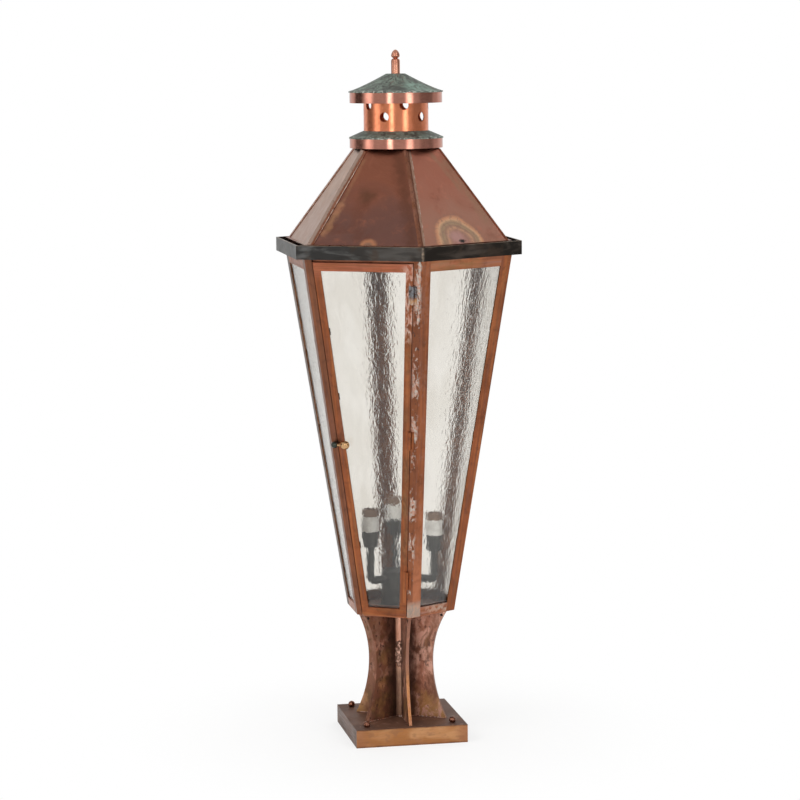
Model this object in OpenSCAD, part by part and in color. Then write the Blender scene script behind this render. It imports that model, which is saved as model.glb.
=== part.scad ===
// Pier mount lantern in copper: a square base, a pedestal of six curved fins, a six-sided glazed body
// with one hinged pane, a pyramid roof and a two-tier round vent with a finial.
// Origin: middle of the base's underside. +Z is up. The corner of the body over the front edge
// of the base is at -Y, and the hinged pane is on its left as seen from the front.

/* [Base] */
// Side of the square base
base_w = 150; // [130:1:180]
// Height of the folded base
base_h = 24; // [18:1:32]
// Sheet thickness of the base
base_t = 1.6; // [1:0.1:2.5]
// Distance of each fixing stud from the edge of the base
stud_inset = 17; // [14:0.5:20]
// Radius of a fixing stud
stud_r = 2.4; // [2:0.1:3]
// Clearance of a stud in the base
stud_clear = 0.3; // [0.1:0.05:0.6]
// Radius of a ball nut
ball_nut_r = 4.6; // [4:0.1:6]
// Thickness of the plate that is bolted to the pier
pier_plate_t = 3; // [2:0.5:5]
// Gap between the pier plate and the walls of the base
pier_plate_gap = 0.6; // [0.3:0.1:1.5]
// Distance between the anchor holes in the pier plate
anchor_pitch = 80; // [60:1:90]
// Radius of an anchor hole
anchor_r = 4; // [3:0.25:5]
// Radius of the cable hole in the pier plate
cable_hole_r = 14; // [10:0.5:20]

/* [Pedestal] */
// Outer radius of the middle tube
tube_r = 11; // [8:0.25:13]
// Wall of the middle tube
tube_wall = 1.5; // [1:0.1:2.5]
// Height of the pedestal above the base
pedestal_h = 148; // [120:1:180]
// Thickness of a fin
fin_t = 4; // [3:0.25:5]
// Distance of a fin's waist from the middle
fin_waist_r = 45; // [36:0.5:50]
// Height of the waist as a share of a fin's height
fin_waist_share = 0.531; // [0.48:0.001:0.58]
// Distance of a fin's upper tip from the middle
fin_top_r = 64.5; // [58:0.5:68]
// Distance of a fin's toe from the middle
fin_toe_r = 64; // [58:0.5:68]
// Radius of the small hole near the top of each fin
fin_hole_r = 1.9; // [1:0.1:2.5]
// Distance of that hole from the fin's outer edge
fin_hole_side = 6; // [5:0.2:8]
// Distance of that hole from the fin's top
fin_hole_drop = 4.6; // [4:0.2:7]
// Thickness of the plate on top of the fins
cap_plate_t = 3; // [2:0.25:5]
// Distance that the plate's corners reach past the fins
cap_plate_lap = 0.6; // [0:0.1:2]
// Height of the tube that shows above the body's floor
tube_show = 2; // [1:0.25:4]

/* [Body] */
// Corner radius of the body at its foot
body_foot_r = 75.7; // [70:0.5:85]
// Corner radius of the body at its top
body_top_r = 158; // [140:0.5:165]
// Height of the body
body_h = 476.5; // [400:1:560]
// Sheet thickness of the posts and rails
frame_t = 1.6; // [1.2:0.1:2.2]
// Width of a post's leg beside a fixed pane, at the top
leg_top_w = 17; // [14:0.5:20]
// Width of a post's leg beside a fixed pane, at the foot
leg_foot_w = 15; // [12:0.5:17]
// Width of a post's leg beside the door, at the top
door_leg_top_w = 9.5; // [8:0.25:11]
// Width of a post's leg beside the door, at the foot
door_leg_foot_w = 6.5; // [6:0.25:8]
// Width of the top rails
top_rail_w = 15; // [12:0.5:20]
// Width of the bottom rails
foot_rail_w = 12.5; // [10:0.5:15]
// Sheet thickness of the floor and the top ring
pan_t = 1.4; // [1:0.1:2]
// Height of the turned-up edge of the floor
pan_lip_h = 14.6; // [12:0.5:18]
// Depth of the turned-down edge of the top ring
ring_lip_h = 13; // [10:0.5:16]

/* [Glass] */
// Thickness of the glass
glass_t = 3; // [2:0.25:4]
// Width of glass held behind the frame of a fixed pane
glass_lap = 5; // [3:0.5:7]
// Width of glass held behind the door's frame
door_glass_lap = 2.8; // [2:0.1:3]
// Room under and over each pane
pane_room = 1.3; // [1:0.1:2]
// Room behind the glass
glass_room = 0.3; // [0.1:0.05:0.6]
// Thickness of a glass clip
clip_t = 0.8; // [0.5:0.1:1.2]
// Width of a glass clip
clip_w = 9; // [6:0.5:14]

/* [Door] */
// Gap between the door and the posts
door_gap = 1; // [0.6:0.1:2]
// Gap between the door and the black band
door_head_gap = 4.5; // [3:0.25:7]
// Width of the door's stiles
stile_w = 9.5; // [9:0.25:12]
// Width of the door's rails
door_rail_w = 11; // [9:0.25:14]
// Distance of the upper hinge below the door's head
hinge_drop = 40.3; // [30:0.1:80]
// Height of the middle hinge as a share of the door's height
hinge_share = 0.511; // [0.4:0.001:0.6]
// Distance of the lower hinge above the door's foot
hinge_low = 52; // [30:1:80]
// Length of a hinge
hinge_len = 24; // [18:1:32]
// Outer radius of a hinge's barrel
barrel_r = 2.2; // [1.9:0.1:2.6]
// Radius of a hinge pin
pin_r = 1; // [0.8:0.05:1.2]
// Running clearance round a hinge pin
pin_clear = 0.05; // [0.03:0.01:0.08]
// Thickness of a hinge leaf
leaf_t = 0.8; // [0.5:0.1:1]
// Reach of a hinge leaf from the pin
leaf_w = 5.5; // [5:0.1:6]

/* [Latch] */
// Distance of the latch from the door's foot
latch_high = 236; // [180:1:300]
// Radius of the brass ball
brass_ball_r = 5.8; // [5:0.1:6.5]
// Radius of the dark ball
dark_ball_r = 4.4; // [3.5:0.1:5]
// Distance of each ball from the spindle
latch_reach = 7.3; // [7:0.1:9]
// Radius of the rod between the balls
latch_rod_r = 1.5; // [1:0.1:2]
// Distance of the spindle from the door's edge
spindle_inset = 4.3; // [3.5:0.1:4.4]
// Radius of the spindle through the door
spindle_r = 1.8; // [1.4:0.1:2]
// Running clearance round the spindle
spindle_clear = 0.06; // [0.03:0.01:0.1]
// Gap between the door and the tongue
tongue_air = 0.4; // [0.3:0.05:0.6]
// Length of the tongue behind the door
tongue_len = 9; // [8:0.25:10]
// Thickness of the tongue
tongue_t = 1.4; // [1:0.1:1.8]

/* [Roof] */
// Distance of the black band's corners past the body's
band_reach = 13.5; // [10:0.5:20]
// Height of the black band
band_h = 18; // [14:0.5:24]
// Sheet thickness of the black band
band_t = 2; // [1.2:0.1:3]
// Height of the eave above the black band
eave_up = 0.2; // [0:0.1:1]
// Distance of the roof's corners inside the band's
eave_inset = 17.9; // [15:0.1:20]
// Height of the roof from the eave to the lower rim
roof_h = 119.6; // [100:1:140]
// Corner radius of the roof at the lower rim
roof_top_r = 60; // [58.5:0.25:60]
// Sheet thickness of the roof panels
roof_t = 1.2; // [0.8:0.1:1.6]
// Thickness of the strips over the hips
hip_t = 0.8; // [0.5:0.1:1.2]
// Width of the lap of each strip over the panel on its right
hip_lap = 9; // [6:0.25:12]
// Width of each strip on the other side of its fold
hip_w = 2; // [1.5:0.25:4]
// Distance that the eave lip reaches past the roof
eave_lip = 4.5; // [2:0.25:8]
// Thickness of the curb that carries the roof
curb_t = 1.6; // [1:0.1:2.5]
// Reach of the curb's inner flange
curb_flange = 4.8; // [3:0.2:8]

/* [Vent] */
// Outer radius of the pierced collar
collar_r = 42.6; // [40:0.2:44]
// Sheet thickness of the collar
collar_t = 1.2; // [0.8:0.1:1.6]
// Depth of the collar below the upper edges of the roof panels
collar_grip = 6.6; // [4:0.2:7]
// Radius of the polished rims
rim_r = 61.2; // [60.9:0.1:63]
// Sheet thickness of the rims
rim_t = 0.7; // [0.5:0.1:0.9]
// Height of the lower rim
low_rim_h = 14; // [10:0.5:18]
// Height of the upper rim
high_rim_h = 15.2; // [11:0.2:19]
// Clearance of the upper rim inside the cap's lip
rim_fit = 0.4; // [0.2:0.1:0.8]
// Distance that each brim reaches past its rim
brim_lap = 0.8; // [0.4:0.1:1.5]
// Depth of each brim's turned-down lip
brim_lip_h = 1.6; // [1:0.1:2.5]
// Sheet thickness of the brims
brim_t = 1; // [0.8:0.1:1.5]
// Rise of the lower brim from its rim to the collar
brim_rise = 8.4; // [6:0.2:12]
// Height of the collar that shows between the two tiers
collar_show = 36.3; // [30:0.5:48]
// Rise of the upper cap from its brim to its flat top
cap_rise = 22.6; // [18:0.2:30]
// Radius of the cap's flat top
cap_top_r = 12.5; // [10:0.5:16]
// Radius of a vent hole
vent_hole_r = 6.2; // [4:0.1:7]
// Number of vent holes in a row
vent_holes = 5; // [4:1:6]
// Height of the lower row above the lower brim
vent_low = 18.2; // [14:0.2:20]
// Height of the upper row above the lower brim
vent_high = 33.6; // [30:0.2:36]
// Turn of the holes round the collar
vent_turn = -122.3; // [-180:0.1:180]

/* [Finial] */
// Radius of the finial's stem
finial_r = 5.8; // [5:0.1:7]
// Height of the finial's stem
finial_stem_h = 16.2; // [12:0.2:22]
// Height of the finial's tip above its stem
finial_tip_h = 15; // [12:0.2:20]
// Radius of the acorn
acorn_r = 5.7; // [4.5:0.1:6]
// Radius of the stud that holds the finial
finial_stud_r = 2.4; // [1.8:0.1:2.8]
// Width of the strap across the collar
strap_w = 14; // [10:0.5:20]
// Thickness of the strap
strap_t = 1.6; // [1:0.1:2.5]
// Distance of the strap above the vent holes
strap_up = 2; // [1:0.25:4]
// Length of the stud inside the finial
stud_grip = 10; // [6:0.5:14]

/* [Lamps] */
// Distance of each lamp holder from the middle
lamp_r = 48.4; // [44:0.2:52]
// Turn of the lamp cluster
cluster_turn = -34.2; // [-60:0.1:0]
// Radius of the cluster's body
cluster_r = 26; // [20:0.5:30]
// Height of the cluster's body
cluster_h = 50; // [40:0.5:60]
// Height of the arms above the floor
arm_h = 40; // [30:0.5:44]
// Outer radius of the bent arms
arm_r = 5.2; // [4:0.1:6]
// Wall of the bent arms
arm_wall = 1.3; // [1:0.1:1.6]
// Middle radius of an arm's bend
arm_bend_r = 8; // [7:0.25:10]
// Rise of the first holder above its arm
rise_right = 38.5; // [20:0.5:60]
// Rise of the second holder above its arm
rise_back = 48.5; // [20:0.5:60]
// Rise of the third holder above its arm
rise_left = 45.5; // [20:0.5:60]
// Radius of a lamp holder's insulator
holder_r = 11.7; // [11:0.1:13]
// Height of the insulator that shows above the cup
holder_h = 20; // [14:0.5:26]
// Radius of a holder's top ring
holder_ring_r = 10.7; // [9.5:0.1:11.5]
// Height of a holder's top ring
holder_ring_h = 9.6; // [6:0.2:12]
// Radius of the lamp's hole in a holder
holder_bore_r = 7; // [6.8:0.1:7.5]
// Height of a cup
cup_h = 22; // [18:0.5:28]
// Radius of a cup at its foot
cup_foot_r = 9.2; // [8.5:0.1:10]
// Wall of a cup
cup_wall = 1.1; // [0.8:0.1:1.5]

/* [Hidden] */
$fn = 96;
POSTS = 6;
HINGE_FACE = 240;
FIXED_FACES = [-60, 0, 60, 120, 180];
far = 400;

body_z = base_h + pedestal_h;
top_z = body_z + body_h;
foot_apothem = body_foot_r * cos(30);
top_apothem = body_top_r * cos(30);
lean = atan((top_apothem - foot_apothem) / body_h);
face_l = body_h / cos(lean);
// Depth of the floor's and ring's lips behind the outer faces
lip_depth = frame_t + glass_t + glass_room;

// Plain trims that only shape the sheet metal
clip_foot = 3.6;
clip_finger = 3;
clip_air = 0.3;
knuckle_gap = 0.3;
leaf_air = 0.3;
ring_inner_lap = 6;

band_r = body_top_r + band_reach;
eave_r = band_r - eave_inset;
band_z = top_z;
band_top_z = band_z + band_h;
eave_z = band_top_z + eave_up;
eave_apothem = eave_r * cos(30);
roof_lean = atan((eave_r - roof_top_r) * cos(30) / roof_h);
roof_mitre = tan(acos(0.5 * pow(cos(roof_lean), 2) + pow(sin(roof_lean), 2)) / 2);
roof_slope = (eave_r - roof_top_r) / roof_h;
panel_l = (eave_apothem - (hip_t + roof_t) * cos(roof_lean) - collar_r) / sin(roof_lean);
panel_top_z = eave_z + panel_l * cos(roof_lean) - (hip_t + roof_t) * sin(roof_lean);
skirt_r = eave_r - curb_t;

low_rim_z = eave_z + roof_h;
low_brim_z = low_rim_z + low_rim_h;
brim_r = rim_r + brim_lap;
brim_slope = brim_rise / (brim_r - collar_r);
collar_z = low_brim_z + brim_rise;
high_rim_z = collar_z + collar_show;
cap_z = high_rim_z + high_rim_h;
cap_top_z = cap_z + cap_rise;
strap_z = collar_z + vent_high + vent_hole_r + strap_up;

floor_z = body_z + pan_t;
arm_z = floor_z + arm_h;
RISES = [rise_right, rise_back, rise_left];
arm_inside = 4;
cup_floor = 1.5;

copper = "#8a5239";
dark_copper = "#5f3a2d";
bright_copper = "#c98a63";
verdigris = "#6f8578";
blackened = "#2b2a28";
brass = "#b08a4a";
steel = "#8c8f92";
porcelain = "#c9c9c4";
phenolic = "#5d4636";
clear = [0.9, 0.92, 0.88, 0.35];

// Placing helpers

// A face of the body whose outward normal is at angle a: X runs along the face, Y up it, Z outwards
module on_face(a) {
    rotate([0, 0, a]) translate([foot_apothem, 0, body_z])
        rotate([0, lean, 0]) rotate([90, 0, 90]) children();
}

// A face of the roof, with the same local axes
module on_roof(a) {
    rotate([0, 0, a]) translate([eave_apothem, 0, eave_z])
        rotate([0, -roof_lean, 0]) rotate([90, 0, 90]) children();
}

// Keeps what lies between two heights
module between(z0, z1) {
    intersection() {
        union() children();
        translate([-far / 2, -far / 2, z0]) cube([far, far, z1 - z0]);
    }
}

// A sheet of thickness t whose outer side is at depth d behind the face
module sheet(d, t) {
    translate([0, 0, -d - t]) linear_extrude(t) children();
}

module hex_ring(r_out, r_in, h) {
    difference() {
        hex(r_out, h);
        translate([0, 0, -1]) hex(r_in, h + 2);
    }
}

module hex(r, h) {
    rotate([0, 0, 30]) cylinder(h = h, r = r, $fn = 6);
}

module ring(r_out, r_in, h) {
    rotate_extrude() translate([r_in, 0]) square([r_out - r_in, h]);
}

module at_corners(d) {
    for (x = [-d, d]) for (y = [-d, d]) translate([x, y, 0]) children();
}

// Half of the width of a body face at the distance v up it
function half_w(v) = (body_foot_r + (body_top_r - body_foot_r) * v / face_l) / 2;

// Distance from the middle of a face to the inner edge of a leg, at the distance v up the face
function leg_edge(v, w0, w1) = half_w(v) - w0 - (w1 - w0) * v / face_l;
function pane_edge(v) = leg_edge(v, leg_foot_w, leg_top_w);
function door_seam(v) = leg_edge(v, door_leg_foot_w, door_leg_top_w);
function edge_turn(w0, w1) = atan(((body_top_r - body_foot_r) / 2 - (w1 - w0)) / face_l);
function pane_turn() = edge_turn(leg_foot_w, leg_top_w);
function seam_turn() = edge_turn(door_leg_foot_w, door_leg_top_w);

// Base

module base_tray() {
    color(copper) difference() {
        translate([-base_w / 2, -base_w / 2, 0]) cube([base_w, base_w, base_h]);
        translate([-base_w / 2 + base_t, -base_w / 2 + base_t, -1])
            cube([base_w - 2 * base_t, base_w - 2 * base_t, base_h - base_t + 1]);
        at_corners(base_w / 2 - stud_inset) cylinder(h = base_h + 1, r = stud_r + stud_clear);
        cylinder(h = base_h + 1, r = tube_r);
    }
}

module pier_plate() {
    plate_w = base_w - 2 * base_t - 2 * pier_plate_gap;
    color(steel) difference() {
        translate([-plate_w / 2, -plate_w / 2, 0]) cube([plate_w, plate_w, pier_plate_t]);
        translate([0, 0, -1]) cylinder(h = pier_plate_t + 2, r = cable_hole_r);
        translate([0, 0, -1]) at_corners(anchor_pitch / 2) cylinder(h = pier_plate_t + 2, r = anchor_r);
    }
}

module pier_studs() {
    color(steel) translate([0, 0, pier_plate_t]) at_corners(base_w / 2 - stud_inset)
        cylinder(h = base_h - pier_plate_t + ball_nut_r, r = stud_r);
}

module ball_nuts() {
    flat = ball_nut_r * 0.25;
    color(dark_copper) translate([0, 0, base_h]) at_corners(base_w / 2 - stud_inset) difference() {
        translate([0, 0, ball_nut_r - flat]) sphere(ball_nut_r);
        translate([0, 0, -ball_nut_r]) cylinder(h = ball_nut_r, r = ball_nut_r + 1);
        translate([0, 0, -1]) cylinder(h = ball_nut_r + 1, r = stud_r);
    }
}

// Pedestal

module pedestal_tube() {
    color(copper) translate([0, 0, base_h - base_t])
        ring(tube_r, tube_r - tube_wall, pedestal_h + base_t + pan_t + tube_show);
}

fin_h = pedestal_h - cap_plate_t;
fin_waist_h = fin_h * fin_waist_share;

// Radius of the curve that runs upright at the waist and is at the radius r after the height h
function fin_curve(r, h) = (pow(h, 2) + pow(r - fin_waist_r, 2)) / (2 * (r - fin_waist_r));

module fin_outline() {
    top_curve = fin_curve(fin_top_r, fin_h - fin_waist_h);
    foot_curve = fin_curve(fin_toe_r, fin_waist_h);
    difference() {
        union() {
            square([fin_toe_r, fin_waist_h]);
            translate([0, fin_waist_h]) square([fin_top_r, fin_h - fin_waist_h]);
        }
        intersection() {
            translate([fin_waist_r + foot_curve, fin_waist_h]) circle(foot_curve);
            translate([0, -1]) square([far, fin_waist_h + 1]);
        }
        intersection() {
            translate([fin_waist_r + top_curve, fin_waist_h]) circle(top_curve);
            translate([0, fin_waist_h]) square([far, far]);
        }
        translate([fin_top_r - fin_hole_side, fin_h - fin_hole_drop]) circle(fin_hole_r);
    }
}

module pedestal_fin(i) {
    color(dark_copper) rotate([0, 0, -90 + 60 * (i - 1)]) difference() {
        translate([0, fin_t / 2, base_h]) rotate([90, 0, 0]) linear_extrude(fin_t) fin_outline();
        translate([0, 0, base_h - 1]) cylinder(h = pedestal_h + 2, r = tube_r);
    }
}

module pedestal_cap_plate() {
    color(copper) translate([0, 0, body_z - cap_plate_t]) difference() {
        hex(fin_top_r + cap_plate_lap, cap_plate_t);
        translate([0, 0, -1]) cylinder(h = cap_plate_t + 2, r = tube_r);
    }
}

// Body

// The tapered body between two heights, at the depth d behind its faces
module body_core(z0, z1, d) {
    translate([0, 0, z0]) rotate([0, 0, 30])
        cylinder(h = z1 - z0, r1 = body_r(z0, d), r2 = body_r(z1, d), $fn = 6);
}

function body_r(z, d) = body_foot_r + (body_top_r - body_foot_r) * (z - body_z) / body_h
    - d / cos(lean) / cos(30);

// A wall of thickness t round the body, with its outer side at the depth d
module body_wall(z0, z1, d, t) {
    difference() {
        body_core(z0, z1, d);
        body_core(z0 - 1, z1 + 1, d + t);
    }
}

module body_floor() {
    lip_top_z = body_z + pan_lip_h;
    color(dark_copper) difference() {
        body_core(body_z, lip_top_z, lip_depth);
        body_core(body_z + pan_t, lip_top_z + 1, lip_depth + pan_t);
        translate([0, 0, body_z - 1]) cylinder(h = pan_t + 2, r = tube_r);
    }
}

// Room for one leg of a post: it runs on past the corner, the ends and both sides of the sheet
module leg_room(a, side, at_door) {
    w0 = at_door ? door_leg_foot_w : leg_foot_w;
    w1 = at_door ? door_leg_top_w : leg_top_w;
    v0 = -2;
    v1 = face_l + 2;
    past = 2 * frame_t + 1;
    on_face(a) sheet(-1, frame_t + 2) polygon([
        [side * (half_w(v0) + past), v0], [side * (half_w(v1) + past), v1],
        [side * leg_edge(v1, w0, w1), v1], [side * leg_edge(v0, w0, w1), v0]
    ]);
}

module corner_post(i) {
    c = -90 + 60 * (i - 1);
    color(copper) intersection() {
        body_wall(body_z, top_z, 0, frame_t);
        union() {
            leg_room(c + 30, -1, i == 6);
            leg_room(c - 30, 1, i == 1);
        }
    }
}

// A flat rail between two legs of a fixed face
module rail(v0, v1) {
    sheet(0, frame_t) polygon([
        [-pane_edge(v0), v0], [pane_edge(v0), v0], [pane_edge(v1), v1], [-pane_edge(v1), v1]
    ]);
}

module bottom_rails() {
    color(copper) between(body_z, top_z) for (a = FIXED_FACES) on_face(a) {
        rail(-1, foot_rail_w);
        translate([-pane_edge(0), 0, -lip_depth]) cube([2 * pane_edge(0), pan_t, lip_depth - frame_t / 2]);
    }
}

module top_rails() {
    color(copper) between(body_z, top_z) for (a = FIXED_FACES)
        on_face(a) rail(face_l - top_rail_w, face_l + 1);
}

module top_ring() {
    inner_r = (top_apothem - lip_depth / cos(lean) - ring_inner_lap) / cos(30);
    color(copper) {
        translate([0, 0, top_z]) hex_ring(band_r - band_t / cos(30), inner_r, pan_t);
        body_wall(top_z - ring_lip_h, top_z + pan_t / 2, lip_depth, pan_t);
    }
}

// Glass

module glass_pane(a) {
    v0 = pan_t + pane_room;
    v1 = face_l - pane_room;
    color(clear) on_face(a) sheet(frame_t, glass_t) polygon([
        [-pane_edge(v0) - glass_lap, v0], [pane_edge(v0) + glass_lap, v0],
        [pane_edge(v1) + glass_lap, v1], [-pane_edge(v1) - glass_lap, v1]
    ]);
}

// A bent clip: X from the edge of the glass towards the corner, Y along that edge
module clip() {
    rotate([90, 0, 0]) linear_extrude(clip_w, center = true) polygon([
        [-clip_finger, -frame_t - glass_t], [clip_air, -frame_t - glass_t],
        [clip_air, -frame_t], [clip_foot, -frame_t], [clip_foot, -frame_t - clip_t],
        [clip_air + clip_t, -frame_t - clip_t], [clip_air + clip_t, -frame_t - glass_t - clip_t],
        [-clip_finger, -frame_t - glass_t - clip_t]
    ]);
}

module glass_clips() {
    heights = face_l * [0.2, 0.5, 0.8];
    color(dark_copper) for (a = FIXED_FACES) on_face(a) for (s = [0, 1]) mirror([s, 0, 0])
        for (v = heights)
            translate([pane_edge(v) + glass_lap, v, 0]) rotate([0, 0, -pane_turn()]) clip();
}

// Door

door_foot_v = 0.3;
door_head_v = face_l - door_head_gap;
function door_edge(v) = door_seam(v) - door_gap;

module door_outline(inset, v0, v1) {
    polygon([
        [-door_edge(v0) + inset, v0], [door_edge(v0) - inset, v0],
        [door_edge(v1) - inset, v1], [-door_edge(v1) + inset, v1]
    ]);
}

function latch_u() = -(door_edge(latch_high) - spindle_inset);

module door_frame() {
    color(copper) on_face(HINGE_FACE) difference() {
        sheet(0, frame_t) difference() {
            door_outline(0, door_foot_v, door_head_v);
            door_outline(stile_w, door_foot_v + door_rail_w, door_head_v - door_rail_w);
        }
        translate([latch_u(), latch_high, -frame_t - 1])
            cylinder(h = frame_t + 2, r = spindle_r + spindle_clear);
    }
}

module door_glass() {
    lap = door_glass_lap;
    color(clear) on_face(HINGE_FACE) sheet(frame_t, glass_t)
        door_outline(stile_w - lap, door_foot_v + door_rail_w - lap, door_head_v - door_rail_w + lap);
}

module door_clips() {
    heights = face_l * [0.2, 0.62, 0.8];
    color(dark_copper) on_face(HINGE_FACE) for (s = [0, 1]) mirror([s, 0, 0]) for (v = heights)
        translate([door_edge(v) - stile_w + door_glass_lap, v, 0]) rotate([0, 0, -seam_turn()]) clip();
}

// Hinge line: X across the seam towards the post, Y along the pin, Z outwards from its middle
module at_hinges() {
    on_face(HINGE_FACE) for (v = [hinge_low, hinge_share * door_head_v, door_head_v - hinge_drop])
        translate([door_seam(v) - door_gap / 2, v, barrel_r]) rotate([0, 0, -seam_turn()]) children();
}

// Length of one of a hinge's three knuckles, and the places where the knuckles start
knuckle_len = (hinge_len - 2 * knuckle_gap) / 3;
function knuckle_start(k) = -hinge_len / 2 + k * (knuckle_len + knuckle_gap);

module knuckle(k, bore_r) {
    difference() {
        union() {
            translate([0, knuckle_start(k), 0]) rotate([-90, 0, 0]) cylinder(h = knuckle_len, r = barrel_r);
            translate([0, knuckle_start(k), -barrel_r]) cube([barrel_r + 2 * leaf_air, knuckle_len, leaf_t]);
        }
        translate([0, knuckle_start(k) - 1, 0]) rotate([-90, 0, 0]) cylinder(h = knuckle_len + 2, r = bore_r);
    }
}

module leaf() {
    translate([barrel_r + leaf_air, -hinge_len / 2, -barrel_r])
        cube([leaf_w - barrel_r - leaf_air, hinge_len, leaf_t]);
}

module post_hinge_leaves() {
    color(copper) at_hinges() {
        leaf();
        knuckle(0, pin_r);
        knuckle(2, pin_r);
    }
}

module door_hinge_leaves() {
    color(copper) at_hinges() mirror([1, 0, 0]) {
        leaf();
        knuckle(1, pin_r + pin_clear);
    }
}

module hinge_pins() {
    color(brass) at_hinges() translate([0, -hinge_len / 2, 0]) rotate([-90, 0, 0])
        cylinder(h = hinge_len, r = pin_r);
}

// Latch

module at_latch() {
    on_face(HINGE_FACE) translate([latch_u(), latch_high, 0]) children();
}

rod_z = brass_ball_r + 0.5;
washer_gap = 0.3;
washer_t = 1.4;
washer_lap = 1;

module latch_handle() {
    color(brass) at_latch() {
        translate([0, 0, -frame_t - tongue_air]) cylinder(h = rod_z + frame_t + tongue_air, r = spindle_r);
        translate([0, 0, washer_gap]) cylinder(h = washer_t, r = spindle_r + washer_lap);
        translate([-latch_reach, 0, rod_z]) rotate([0, 90, 0]) cylinder(h = 2 * latch_reach, r = latch_rod_r);
        translate([latch_reach, 0, rod_z]) sphere(brass_ball_r);
    }
}

module latch_dark_ball() {
    color(blackened) at_latch() difference() {
        translate([-latch_reach, 0, rod_z]) sphere(dark_ball_r);
        translate([-latch_reach, 0, rod_z]) rotate([0, 90, 0]) cylinder(h = dark_ball_r + 1, r = latch_rod_r);
    }
}

// At rest the tongue hangs down behind the stile. A quarter turn brings it behind the post.
module latch_tongue() {
    color(brass) at_latch() translate([0, 0, -frame_t - tongue_air - tongue_t]) linear_extrude(tongue_t) {
        circle(spindle_r);
        translate([-spindle_r, -tongue_len]) square([2 * spindle_r, tongue_len]);
    }
}

// Roof

module eave_band() {
    color(blackened) translate([0, 0, band_z]) hex_ring(band_r, band_r - band_t / cos(30), band_h);
}

module roof_curb() {
    color(bright_copper) {
        translate([0, 0, top_z + pan_t])
            hex_ring(skirt_r, skirt_r - curb_t / cos(30), eave_z - top_z - pan_t);
        translate([0, 0, eave_z - curb_t])
            hex_ring(eave_r + eave_lip, skirt_r - curb_t / cos(30) - curb_flange, curb_t);
    }
}

// Half of the width of a roof face at the distance v up it
function roof_half(v) = (eave_r - roof_slope * v * cos(roof_lean)) / 2;

module roof_panel(i) {
    seam_gap = 0.05;
    k = roof_mitre * (hip_t + roof_t) + seam_gap;
    v0 = -3;
    color(copper) between(eave_z, cap_top_z) on_roof(-60 + 60 * (i - 1)) sheet(hip_t, roof_t) polygon([
        [-roof_half(v0) + k, v0], [roof_half(v0) - k, v0],
        [roof_half(panel_l) - k, panel_l], [-roof_half(panel_l) + k, panel_l]
    ]);
}

// The roof between two heights, at the depth d behind its faces
module roof_core(z0, z1, d) {
    translate([0, 0, z0]) rotate([0, 0, 30])
        cylinder(h = z1 - z0, r1 = roof_r(z0, d), r2 = roof_r(z1, d), $fn = 6);
}

function roof_r(z, d) = eave_r - roof_slope * (z - eave_z) - d / cos(roof_lean) / cos(30);

module hip_strips() {
    top_gap = 1;
    v0 = -3;
    v1 = (roof_h + 3) / cos(roof_lean);
    past = 2 * hip_t + 1;
    color(bright_copper) intersection() {
        difference() {
            roof_core(eave_z, low_rim_z - top_gap, 0);
            roof_core(eave_z - 1, low_rim_z, hip_t);
        }
        for (i = [0:5]) {
            on_roof(60 * i) sheet(-1, hip_t + 2) polygon([
                [roof_half(v0) + past, v0], [roof_half(v1) + past, v1],
                [roof_half(v1) - hip_w, v1], [roof_half(v0) - hip_w, v0]
            ]);
            on_roof(60 * i + 60) sheet(-1, hip_t + 2) polygon([
                [-roof_half(v0) - past, v0], [-roof_half(v1) - past, v1],
                [-roof_half(v1) + hip_lap, v1], [-roof_half(v0) + hip_lap, v0]
            ]);
        }
    }
}

// Vent

module lower_rim() {
    color(bright_copper) translate([0, 0, low_rim_z])
        ring(rim_r, rim_r - rim_t, low_rim_h - brim_t + brim_slope * brim_lap);
}

module lower_brim() {
    color(verdigris) translate([0, 0, low_brim_z]) rotate_extrude() polygon([
        [collar_r, brim_rise], [brim_r, 0], [brim_r, -brim_lip_h], [rim_r, -brim_lip_h],
        [rim_r, -brim_t + brim_slope * brim_lap], [collar_r, brim_rise - brim_t]
    ]);
}

// Height of the cap's outer side above its brim at the radius r. It flares out towards the brim.
function cap_flare(r) = cap_rise * pow((brim_r - r) / (brim_r - cap_top_r), 1.2);
CAP_STEPS = [0, 0.12, 0.3, 0.5, 0.7, 0.85, 1];
function cap_r(s) = brim_r + (cap_top_r - brim_r) * s;

module upper_cap() {
    color(verdigris) translate([0, 0, cap_z]) rotate_extrude() polygon(concat(
        [for (s = CAP_STEPS) [cap_r(s), cap_flare(cap_r(s))]],
        [[finial_stud_r, cap_rise], [finial_stud_r, cap_rise - brim_t], [cap_top_r, cap_rise - brim_t]],
        [for (i = [len(CAP_STEPS) - 2 : -1 : 1])
            [cap_r(CAP_STEPS[i]), cap_flare(cap_r(CAP_STEPS[i])) - brim_t]],
        [[rim_r, cap_flare(rim_r) - brim_t], [rim_r, -brim_lip_h], [brim_r, -brim_lip_h]]
    ));
}

module upper_rim() {
    color(bright_copper) translate([0, 0, high_rim_z])
        ring(rim_r - rim_fit, rim_r - rim_fit - rim_t, high_rim_h + cap_flare(rim_r) - brim_t);
}

// One vent hole through the collar's wall, at the height z and the angle a
module vent_hole(z, a) {
    reach = 4;
    rotate([0, 0, a]) translate([collar_r - collar_t - reach, 0, z])
        rotate([0, 90, 0]) cylinder(h = collar_t + 2 * reach, r = vent_hole_r);
}

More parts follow.
